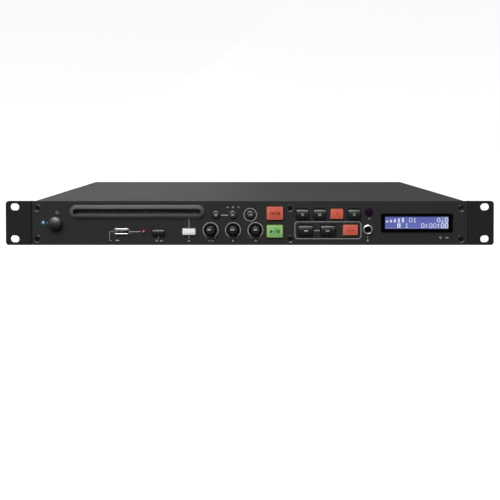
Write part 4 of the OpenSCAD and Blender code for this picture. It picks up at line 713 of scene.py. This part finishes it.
# Display: a glossy frame, and lit dots in two rows of sixteen characters.
# The letters a to e are the five bars, and p is the pause sign.
displayLook = {"glass": (62.8, 12.0), "column": 3.93, "dot": 0.6, "pitch": 0.65,
               "rowDown": (1.1, 6.5), "corner": 1.0, "ease": 0.35, "behind": 0.4,
               "rows": ("abcde 01     0.0", "   p 1   0:00:00")}
dotRows = {
    "0": "01110 10001 10001 10001 10001 10001 01110",
    "1": "00100 01100 00100 00100 00100 00100 01110",
    ".": "00000 00000 00000 00000 00000 01100 01100",
    ":": "00000 01100 01100 00000 01100 01100 00000",
    "a": "00000 00000 00000 00000 01110 01110 01110",
    "b": "00000 00000 00000 01110 01110 01110 01110",
    "c": "00000 00000 01110 01110 01110 01110 01110",
    "d": "00000 01110 01110 01110 01110 01110 01110",
    "e": "01110 01110 01110 01110 01110 01110 01110",
    "p": "11011 11011 11011 11011 11011 11011 11011",
}
centre, size = centreOf("display_bezel")
displayAt = (centre.x, centre.z)
glass, pitch = displayLook["glass"], displayLook["pitch"]
bezel = openFrame((size.x, size.z), glass, -depthOf("display_bezel"),
                  frontY - boxOf("display_bezel")[0].y, displayLook["corner"],
                  displayLook["ease"])
makePiece("displayBezel", [(bezel, frontPlace(displayAt))], "glossBlack",
          ["display_bezel"])
dots = []
for down, line in zip(displayLook["rowDown"], displayLook["rows"]):
    for column, letter in enumerate(line):
        for row, bits in enumerate(dotRows.get(letter, "").split()):
            for across, bit in enumerate(bits):
                if bit == "1":
                    x = (column + 0.1) * displayLook["column"] + (across + 0.5) * pitch
                    z = glass[1] / 2 - down - (row + 0.5) * pitch
                    dot = roundedBlock((displayLook["dot"],) * 2, 0, -0.01, 0.05)
                    dots.append((dot, shifted(x - glass[0] / 2, z)))
makePiece("displayDots", put(dots, frontPlace(displayAt, frontY + displayLook["behind"])), "dots")
print("player: display lit,", len(dots), "dots")

# The screen is lighter at its foot and towards its right end
screenLook = {"cloud": 14, "dark": (0.108, 0.132, 0.415), "light": (0.126, 0.150, 0.45),
              "foot": (0.20, 0.22, 0.52), "right": (0.33, 0.37, 0.63), "rightFrom": 20,
              "rightTo": 32, "footFrom": 6.4, "footTo": 3.5, "base": (0.02, 0.022, 0.06, 1),
              "glow": 0.9, "rough": 0.25, "shine": 0.25}


def screenFinish():
    look, (x, z) = screenLook, displayAt
    material, shader, coords = startFinish("displayBlue")
    split = addNode(material, "ShaderNodeSeparateXYZ")
    join(material, coords.outputs["Object"], split.inputs["Vector"])
    right = rampBetween(material, split.outputs["X"], 0, 1, (x + look["rightFrom"]) * mm,
                        (x + look["rightTo"]) * mm)
    foot = rampBetween(material, split.outputs["Z"], 1, 0, (z - look["footFrom"]) * mm,
                       (z - look["footTo"]) * mm)
    cloud = rampBetween(material, grainOf(material, coords, look["cloud"]), 0, 1)
    blue = mixColours(material, cloud, look["dark"], look["light"])
    blue = mixColours(material, foot, blue, look["foot"])
    blue = mixColours(material, right, blue, look["right"])
    join(material, blue, shader.inputs["Emission Color"])
    setInputs(shader, {"Base Color": look["base"], "Emission Strength": look["glow"],
                       "Roughness": look["rough"], "Specular IOR Level": look["shine"]})
    return material


finishes["displayBlue"] = screenFinish()

# USB socket: a folded shell with rolled lips above and below, and its tongue and contacts
usbLook = {"inner": (12.5, 5.12), "wall": 0.3, "rolls": ((1.6, 2.5), (-2.55, 1.375)), "lip": 1.5,
           "deep": 16, "tongue": (11.1, 1.84), "up": 0.9, "contact": (1.0, 0.2),
           "contactsX": (-3.5, -1.0, 1.0, 3.5), "contactRun": (-9, -1.4)}
usbAt, usbPlace, deep = spotOf("usb_socket"), frontOf("usb_socket"), usbLook["deep"]
wide, high = usbLook["inner"]
shell = (wide + 2 * usbLook["wall"], high + 2 * usbLook["wall"])
usbParts = [(openFrame(shell, usbLook["inner"], 1 - deep, 0.4, 0.2, 0.1), usbPlace),
            (roundedBlock(shell, 0.2, -deep, 1.01 - deep), usbPlace)]
for up, roll in usbLook["rolls"]:
    lip = roundedBlock((wide - 0.4, roll), 0.6, -0.4, usbLook["lip"], roll * 0.42, 5)
    usbParts.append((lip, usbPlace @ shifted(0, up)))
makePiece("usbShell", usbParts, "softNickel", ["usb_socket"])
tongue = roundedBlock(usbLook["tongue"], 0.2, 1 - deep, -1, 0.15, 2)
plug = roundedBlock((wide - 0.02, high - 0.02), 0.1, 1.01 - deep, -5)
makePiece("usbTongue", [(tongue, usbPlace @ shifted(0, usbLook["up"])), (plug, usbPlace)],
          "knobPlastic")
under = usbLook["up"] - usbLook["tongue"][1] / 2 - 0.06
contacts = [(roundedBlock(usbLook["contact"], 0, *usbLook["contactRun"]),
             usbPlace @ shifted(x, under)) for x in usbLook["contactsX"]]
makePiece("usbContacts", contacts, "gold")

# Microphone jack: a ring nut on its bushing, and the body behind the panel
jackLook = {"bore": 3.2, "nut": 5.0, "proud": 1.6, "bushing": 4.3, "deep": 24, "body": 12,
            "hollow": 8.8, "floor": 1.6}
bore, nut, proud, deep = (jackLook[key] for key in ("bore", "nut", "proud", "deep"))
profile = [(bore, 2 - deep), (jackLook["bushing"], 2 - deep), (jackLook["bushing"], -0.01),
           (nut, -0.01), (nut, proud * 0.45), (nut - 0.25, proud * 0.75),
           (nut - 0.7, proud * 0.94), (nut - 1.1, proud), (bore + 0.35, proud * 0.92),
           (bore + 0.1, proud * 0.7), (bore, proud * 0.35)]
jackPlace = frontOf("mic_jack")
makePiece("micJackRing", [(lathe(profile, closed=True), jackPlace)], "softNickel",
          ["mic_jack"])
body = (jackLook["body"],) * 2
micBody = [openFrame(body, (jackLook["hollow"],) * 2, -deep, -2.0),
           roundedBlock(body, 0, -deep, jackLook["floor"] - deep)]
makePiece("micJackBody", [(shape, jackPlace) for shape in micBody], "moulding")

# A soft ring of light round each lamp
haloLook = {"inner": 1.5, "outer": 3.1, "low": -0.02, "high": 0.1, "ease": 0.05}
for word, colour in (("usb", "red"), ("power", "blue")):
    halo = ringBar(**haloLook, segments=40)
    makePiece(word + "LampHalo", [(halo, frontOf(word + "_lamp"))], colour + "Halo")

# Window of the remote control: a shallow lens with its shank
remoteLook = {"shank": 3, "front": [(3, -3), (4.4, -3), (4.4, 0.05), (4.1, 0.25), (3.4, 0.36),
                                    (2.0, 0.4), (0, 0.4)]}
deep = depthOf("remote_window")
lens = lathe([(0, -deep), (remoteLook["shank"], -deep)] + remoteLook["front"], 56)
makePiece("remoteLens", [(lens, frontOf("remote_window"))], "remoteLens",
          ["remote_window"])

# Screws: pan heads, and countersunk ones in the front panel, all with a cross recess
screwLook = {"head": 2.9, "shank": 1.5, "pan": 1.6, "recess": 0.8, "arm": 1.75, "blade": 0.75,
             "bladeFoot": (0.45, 0.6), "sunk": 0.25, "frontMiddle": 39.7,
             "top": (-190.5, -57.8, 54.5, 190.3), "rearFoot": 209, "side": 217.5,
             "sideY": (-111, -98), "sideZ": (11.8, 31.8), "output": (9.5, 11.9),
             "inlet": (13.9, 0.0), "flange": 13.0,
             "rim": [(2.92, -0.02), (3.0, 0.04), (3.42, 0.3), (3.52, 0.3), (3.66, 0.12),
                     (3.7, -0.02)]}


def crossScrew(length, height=screwLook["pan"]):
    radius, shank = screwLook["head"], screwLook["shank"]
    profile = [(0, -length), (shank, -length)]
    if height:
        profile += [(shank, 0), (radius, 0), (radius, height * 0.35)]
        profile += [(radius * math.cos(angle), height * (0.35 + 0.65 * math.sin(angle)))
                    for angle in (0.35, 0.65, 0.95, 1.25)] + [(0, height)]
    else:
        profile += [(shank, shank - radius), (radius, -0.12), (radius - 0.12, 0), (0, 0)]
    foot = height - screwLook["recess"]
    blade = []
    for turn in (0, 90):
        wedge = roundedBlock((screwLook["arm"] * 2, screwLook["blade"]), 0, foot, height + 0.4)
        bmesh.ops.scale(wedge, vec=(*screwLook["bladeFoot"], 1),
                        verts=[vert for vert in wedge.verts if vert.co.z < foot + 1e-3])
        blade.append((wedge, shifted(0, 0, 0, turn)))
    head = objectOf("head", assemble([(lathe(profile, 40), Matrix())]))
    cutter = objectOf("blade", assemble(blade))
    cut = head.modifiers.new("recess", "BOOLEAN")
    cut.operation, cut.object, cut.solver, cut.use_self = "DIFFERENCE", cutter, "EXACT", True
    view = bpy.context.evaluated_depsgraph_get()
    shape = bpy.data.meshes.new_from_object(head.evaluated_get(view))
    bpy.data.objects.remove(head)
    bpy.data.objects.remove(cutter)
    return shape


def screwsAt(shape, places, first=23, step=37):
    parts = []
    for index, place in enumerate(places):
        bm = bmesh.new()
        bm.from_mesh(shape)
        turn = first + step * index  # each screw has stopped at its own angle
        parts.append((bm, place @ shifted(0, 0, 0, turn)))
    return parts


panHead, shortPan, longPan, flatHead = (crossScrew(6.0), crossScrew(3.2), crossScrew(8.5),
                                        crossScrew(6.0, 0.0))
headIn = Vector((1, 0, 1)) * screwLook["head"]
low, high = boxOf("panel_screws")
low, high = low + headIn, high - headIn
frontSpots = [(x, z) for x in (low.x, screwLook["frontMiddle"], high.x) for z in (low.z, high.z)]
places = [frontPlace(at, frontY + screwLook["sunk"]) for at in frontSpots]
makePiece("panelScrews", screwsAt(flatHead, places), "blackNickel",
          ["panel_screws"])
low, high = boxOf("case_screws")
places = [rearPlace((x, (high - headIn).z)) for x in screwLook["top"]]
places += [rearPlace((x * screwLook["rearFoot"], (low + headIn).z)) for x in (-1, 1)]
sidePlaces = []
for side in (-1, 1):
    turn = Matrix.Rotation(side * math.pi / 2, 4, "Y")
    for y in screwLook["sideY"]:
        sidePlaces += [Matrix.Translation((side * screwLook["side"], y, z)) @ turn
                       for z in screwLook["sideZ"]]
caseScrews = screwsAt(panHead, places, 11, 41) + screwsAt(longPan, sidePlaces, 11, 41)
makePiece("caseScrews", caseScrews, "screwNickel", ["case_screws"])
low, high = boxOf("xlr_sockets")
outputAt = [(x, (low.z + high.z) / 2) for x in (low.x + screwLook["flange"],
                                                high.x - screwLook["flange"])]
comboAt = spotOf("combo_jack")
spots = [(at, screwLook["output"]) for at in outputAt + [comboAt]]
spots += [(spotOf("mains_inlet"), screwLook["inlet"])]
places = [rearPlace((at[0] + side * over, at[1] + side * up), wallY)
          for at, (over, up) in spots for side in (-1, 1)]
makePiece("socketScrews", screwsAt(shortPan, places), "screwNickel",
          ["connector_screws"])
rims = [(lathe(screwLook["rim"], 48, closed=True), frontPlace(at)) for at in frontSpots]
makePiece("panelScrewRims", rims, "rimCoat")

# Phono sockets: nickel barrels on a collar
phonoLook = {"radius": 4.15, "wall": 0.75, "proud": 8.0, "collar": 5.05, "collarHigh": 0.8}
low, high = boxOf("rca_sockets")
radius, collar, endY = phonoLook["radius"], phonoLook["collar"], phonoLook["proud"]
phonoAt = [(x, z) for x in (low.x + collar, high.x - collar)
           for z in (low.z + collar, high.z - collar)]
inner, wallGap, deepY = radius - phonoLook["wall"], rearY - wallY, low.y - rearY
collarHigh = phonoLook["collarHigh"]
profile = [(inner, deepY), (radius, deepY), (radius, -wallGap), (collar, -wallGap),
           (collar, collarHigh - 0.35), (collar - 0.2, collarHigh), (radius, collarHigh),
           (radius, endY - 0.35), (radius - 0.1, endY - 0.1), (radius - 0.25, endY),
           (inner + 0.25, endY), (inner + 0.08, endY - 0.08), (inner, endY - 0.3)]
makePiece("phonoBarrels", [(lathe(profile, closed=True), rearPlace(at)) for at in phonoAt],
          "nickel", ["rca_sockets"])

# Rims of the outputs, and the combination jack with its star, ring, key and release tab
outputLook = {"rim": [(8.32, -1.9), (9.6, 0.4), (10.2, 0.95), (10.62, 1.15), (10.92, 1.0),
                      (11.0, 0.6), (11.0, -1.9)]}
rims = [(lathe(outputLook["rim"], 72, closed=True), rearPlace(at)) for at in outputAt]
makePiece("outputRims", rims, "rimCoat")
comboLook = {"ring": (10.55, 11.4, -0.6, 1.0, 0.3),
             "insert": [(3.3, -1.0), (7.3, -1.0), (7.3, 0.35), (7.0, 0.6), (3.3, 0.35)],
             "insertBack": 0.4, "across": 5.9, "up": 3.6, "waist": 2.6, "sharp": 2.2, "points": 32,
             "star": 0.3, "key": (2.2, 0.9), "keyDown": 8.6, "tabCorner": 0.9, "tabEase": 0.5}
ring = ringBar(*comboLook["ring"], 72)
makePiece("comboRing", [(ring, rearPlace(comboAt))], "nickel")
print("player: sockets and screws made")

starCorners = []
for step in range(comboLook["points"]):
    angle = math.tau * step / comboLook["points"]
    spike = abs(math.cos(2 * angle)) ** comboLook["sharp"]
    reach = comboLook["across"] if abs(math.cos(angle)) > 0.71 else comboLook["up"]
    length = comboLook["waist"] + (reach - comboLook["waist"]) * spike
    starCorners.append((length * math.cos(angle), length * math.sin(angle)))
insert = lathe(comboLook["insert"], 72, closed=True)
makePiece("comboInsert", [(insert, rearPlace(comboAt, rearY - comboLook["insertBack"]))],
          "insertGrey")
star = flatShape(starCorners, 0.0, comboLook["star"])
makePiece("comboStar", [(star, rearPlace(comboAt))], "moulding")
combKey = roundedBlock(comboLook["key"], 0.3, -0.4, 0.45, 0.15, 2)
makePiece("comboKey", [(combKey, rearPlace((comboAt[0], comboAt[1] - comboLook["keyDown"])))],
          "nickel")
low, high = boxOf("combo_latch")
tab = roundedBlock((high.x - low.x, high.z - low.z), comboLook["tabCorner"], low.y - rearY,
                   high.y - rearY, comboLook["tabEase"], 4)
makePiece("comboTab", [(tab, rearPlace(spotOf("combo_latch")))], "latchMetal",
          ["combo_latch"], "combo_latch")

# Print on the front, by place: paths give their width first, and signs their size last
printLook = {"fine": 0.45, "knobs": (-38.8, -16.6, 5.6), "box": (44.6, 110.0, 6.2, 23.0),
             "boxCorner": 3.0, "boxLine": 0.55}
fine, knobsAt = printLook["fine"], printLook["knobs"]
frontMarks = [
    (pathAt, 0.8, (-202.4, 22.0), (-200, 22.0)), (signAt, "power", -190.4, 32.2),
    (signAt, "skipBack", -22.0, 37.4, 0.8), (signAt, "disc", -16.6, 37.4, 0.8),
    (signAt, "skipOn", -11.2, 37.4, 0.8), (signAt, "pitch", knobsAt[0], 4.2, 0.75),
    (signAt, "mic", knobsAt[1], 4.2, 0.75), (signAt, "speaker", knobsAt[2], 4.2, 0.75),
    (signAt, "disc", 188.6, 7.2), (signAt, "stick", 195.0, 7.2, 0.9),
    (pathAt, fine, (-135.3, 13.2), (-138.8, 13.2), (-138.8, 4.6), (-136.9, 4.6)),
    (signAt, "stick", -131, 4.6), (pathAt, 0.7, (-118.6, 13.2), (-107.4, 13.2)),
    (pathAt, fine, (-90.4, 8.6), (-90.4, 6.6)), (pathAt, fine, (-60.2, 26), (-60.2, 17.0)),
    (pathAt, fine, (-60.2, 9.4), (-60.2, 6.4)), (signAt, "disc", -92.2, 4.2, 0.9),
    (signAt, "stick", -87.6, 4.2, 0.75), (signAt, "eject", -60.2, 4.3, 0.9),
    (pathAt, 0.75, (-28.4, 29.6), (-22.0, 29.6)), (arcAt, 6.3, 0.55, 0, 360, 0.4, 30.1),
    (pathAt, 0.7, (63.4, 14.3), (69.2, 14.3)), (pathAt, fine, (116.6, 9.0), (116.6, 7.2)),
    (signAt, "mic", 116.7, 4.4), (signAt, "waves", 118.2, 25.6, 0.9),
    (arcAt, 3.95, 0.4, -70, 140, usbAt[0] + 3.7, usbAt[1]),
    (arcAt, 3.95, 0.4, 110, 140, usbAt[0] - 3.7, usbAt[1]),
]
for x in knobsAt:
    frontMarks += [(arcAt, 7.45, 0.6, -52, 284, x, 14.9),
                   (digitsAt, "-", 1.5, 0.35, x - 4.4, 7.4),
                   (digitsAt, "+", 1.5, 0.35, x + 4.4, 7.4)]
(left, right, low, high), corner = printLook["box"], printLook["boxCorner"]  # round lower keys
width = printLook["boxLine"]
for x, z, start in ((right - corner, high - corner, 0), (left + corner, high - corner, 90),
                    (left + corner, low + corner, 180), (right - corner, low + corner, 270)):
    frontMarks.append((arcAt, corner, width, start, 90, x, z))
for z in (low, high):
    frontMarks.append((blockAt, right - left - 2 * corner, width, (left + right) / 2, z))
for x in (left, right):
    frontMarks.append((blockAt, width, high - low - 2 * corner, x, (low + high) / 2))
makePiece("frontPrint", put(draw(frontMarks), frontPlace((0, 0))), "ink")

# Print on the rear wall, as seen from behind, so x runs the other way
backLook = {"width": 0.8, "foot": 3.6, "digits": (2.0, 0.35), "digitsUp": 7.4,
            "lines": ((-182.5, 39.2), (-148.2, 39.2), (-84.9, 39.2), (-52.1, 34.0))}
lines, foot = backLook["lines"], backLook["foot"]
backMarks = [(pathAt, backLook["width"], (lines[0][0], foot), (lines[-1][0], foot))]
backMarks += [(pathAt, backLook["width"], (x, foot), (x, top)) for x, top in lines]
backMarks += [(digitsAt, text, *backLook["digits"], -at[0], backLook["digitsUp"])
              for at, text in zip(outputAt, "21")]
makePiece("rearPrint", put(draw(backMarks), rearPlace((0, 0), wallY)), "ink")
labelLook = {"size": (48.2, 7.6), "corner": 0.3, "thick": 0.12, "ease": 0.05, "at": (-103.4, 7.7)}
label = roundedBlock(labelLook["size"], labelLook["corner"], -0.01, labelLook["thick"],
                     labelLook["ease"], 2)
# The label's glow is painted light on the paper
makePiece("rearLabel", [(label, rearPlace(labelLook["at"], wallY))], "labelPaperPaintedGlow")

# Two small pits in the cover
pitLook = {"profile": [(0, 0.12), (0.9, 0.1), (1.4, 0.0), (0, -0.05)], "x": (81, 201), "y": -108}
pits = [(lathe(pitLook["profile"], 32), Matrix.Translation((x, pitLook["y"], coverTop)))
        for x in pitLook["x"]]
makePiece("coverPips", pits, "coverPaint")
print("player: print and label made")

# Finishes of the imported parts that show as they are
nodeFinish = {
    "frontPaint": ["front_panel"], "earPaint": ["rack_ear_left", "rack_ear_right"],
    "coverPaint": ["top_cover"], "trayPaint": ["chassis", "rear_panel"], "felt": ["slot_felt"],
    "displayBlue": ["display_module"], "blueLamp": ["power_lamp"], "redLamp": ["usb_lamp"],
    "whiteInsulator": ["rca_inserts_white"], "redInsulator": ["rca_inserts_red"],
    "nickel": ["contact_pins"], "boardMask": ["front_board", "circuit_boards", "power_supply"],
    "moulding": ["power_switch", "xlr_sockets", "mains_inlet", "combo_jack", "clamp_puck",
                 "pickup_sled"],
    "zincSteel": ["loader_frame", "loader_top", "roller_carriage", "cam_slider",
                  "traverse_frame", "traverse_motors", "lead_screw"],
    "rubber": ["feed_roller", "turntable"], "nylon": ["motor_pinion"],
}
for finish, names in nodeFinish.items():
    for name in names:
        nodes[name].data.materials.clear()
        nodes[name].data.materials.append(finishes[finish])

# Studio, in metres: a round paper bowl that only the camera sees, soft lights and a pale sky
studio = {"floor": 2.2, "curve": 0.8, "wall": 2.6, "steps": 12, "paper": (0.25, 0.25, 0.25, 1),
          "paperGlow": 0.86, "aim": (0, 0, 0.03),
          "sky": [(0.0, 0.08), (0.5, 0.10), (0.56, 0.13), (0.75, 0.42), (1.0, 0.75)]}
floor, curve = studio["floor"], studio["curve"]
profile = [(0, 0), (floor, 0)]
for step in range(1, studio["steps"] + 1):
    angle = math.pi / 2 * step / studio["steps"]
    profile.append((floor + curve * math.sin(angle), curve * (1 - math.cos(angle))))
bowl = lathe(profile + [(floor + curve, studio["wall"])], 96)
for face in bowl.faces:
    face.smooth = True
paper = objectOf("paper", bowl)
paperFinish = bpy.data.materials.new("paper")
paperFinish.use_nodes = True
setInputs(paperFinish.node_tree.nodes["Principled BSDF"],
          {"Base Color": studio["paper"], "Roughness": 0.9, "Specular IOR Level": 0.0,
           "Emission Color": (1, 1, 1, 1), "Emission Strength": studio["paperGlow"]})
paper.data.materials.append(paperFinish)
paper.visible_glossy = paper.visible_diffuse = paper.visible_shadow = False

# "soft" lights shade the paint, and "shine" lights are mirrored in it
lights = {
    "keyLight": {"place": (-0.8, -1.3, 1.5), "size": (1.8, 1.2), "power": 42, "soft": True,
                 "shine": False},
    "backLight": {"place": (-1.22, 2.3, 0.85), "size": (2.76, 0.8), "power": 6, "soft": True,
                  "shine": True},
    "frontStrip": {"place": (-0.1, -0.5, 1.2), "size": (1.2, 0.7), "power": 36, "soft": False,
                   "shine": True},
    "backFill": {"place": (-0.5, 1.7, 0.8), "size": (1.2, 0.8), "power": 12, "soft": True,
                 "shine": False},
    "backStrip": {"place": (0.1, 0.5, 1.2), "size": (1.2, 0.5), "power": 9, "soft": False,
                  "shine": True},
}
for name, look in lights.items():
    data = bpy.data.lights.new(name, "AREA")
    data.shape = "RECTANGLE"
    data.size, data.size_y = look["size"]
    data.energy = look["power"]
    lamp = bpy.data.objects.new(name, data)
    lamp.location = look["place"]
    lamp.visible_diffuse, lamp.visible_glossy = look["soft"], look["shine"]
    aim = Vector(studio["aim"]) - Vector(look["place"])
    lamp.rotation_euler = aim.to_track_quat("-Z", "Y").to_euler()
    scene.collection.objects.link(lamp)

world = bpy.data.worlds.new("studio")
world.use_nodes = True
scene.world = world
coords, split, rise, ramp = (addNode(world, "ShaderNode" + kind) for kind in
                             ("TexCoord", "SeparateXYZ", "MapRange", "ValToRGB"))
rise.inputs["From Min"].default_value = -1
for index, (spot, level) in enumerate(studio["sky"]):
    elements = ramp.color_ramp.elements
    stop = elements[index] if index < 2 else elements.new(spot)
    stop.position, stop.color = spot, (level, level, level, 1)
sky = world.node_tree.nodes["Background"]
join(world, coords.outputs["Generated"], split.inputs["Vector"])
join(world, split.outputs["Z"], rise.inputs["Value"])
join(world, rise.outputs["Result"], ramp.inputs["Fac"])
join(world, ramp.outputs["Color"], sky.inputs["Color"])
sky.inputs["Strength"].default_value = 1.0
scene.view_settings.view_transform = "Standard"
print("player: studio lit")
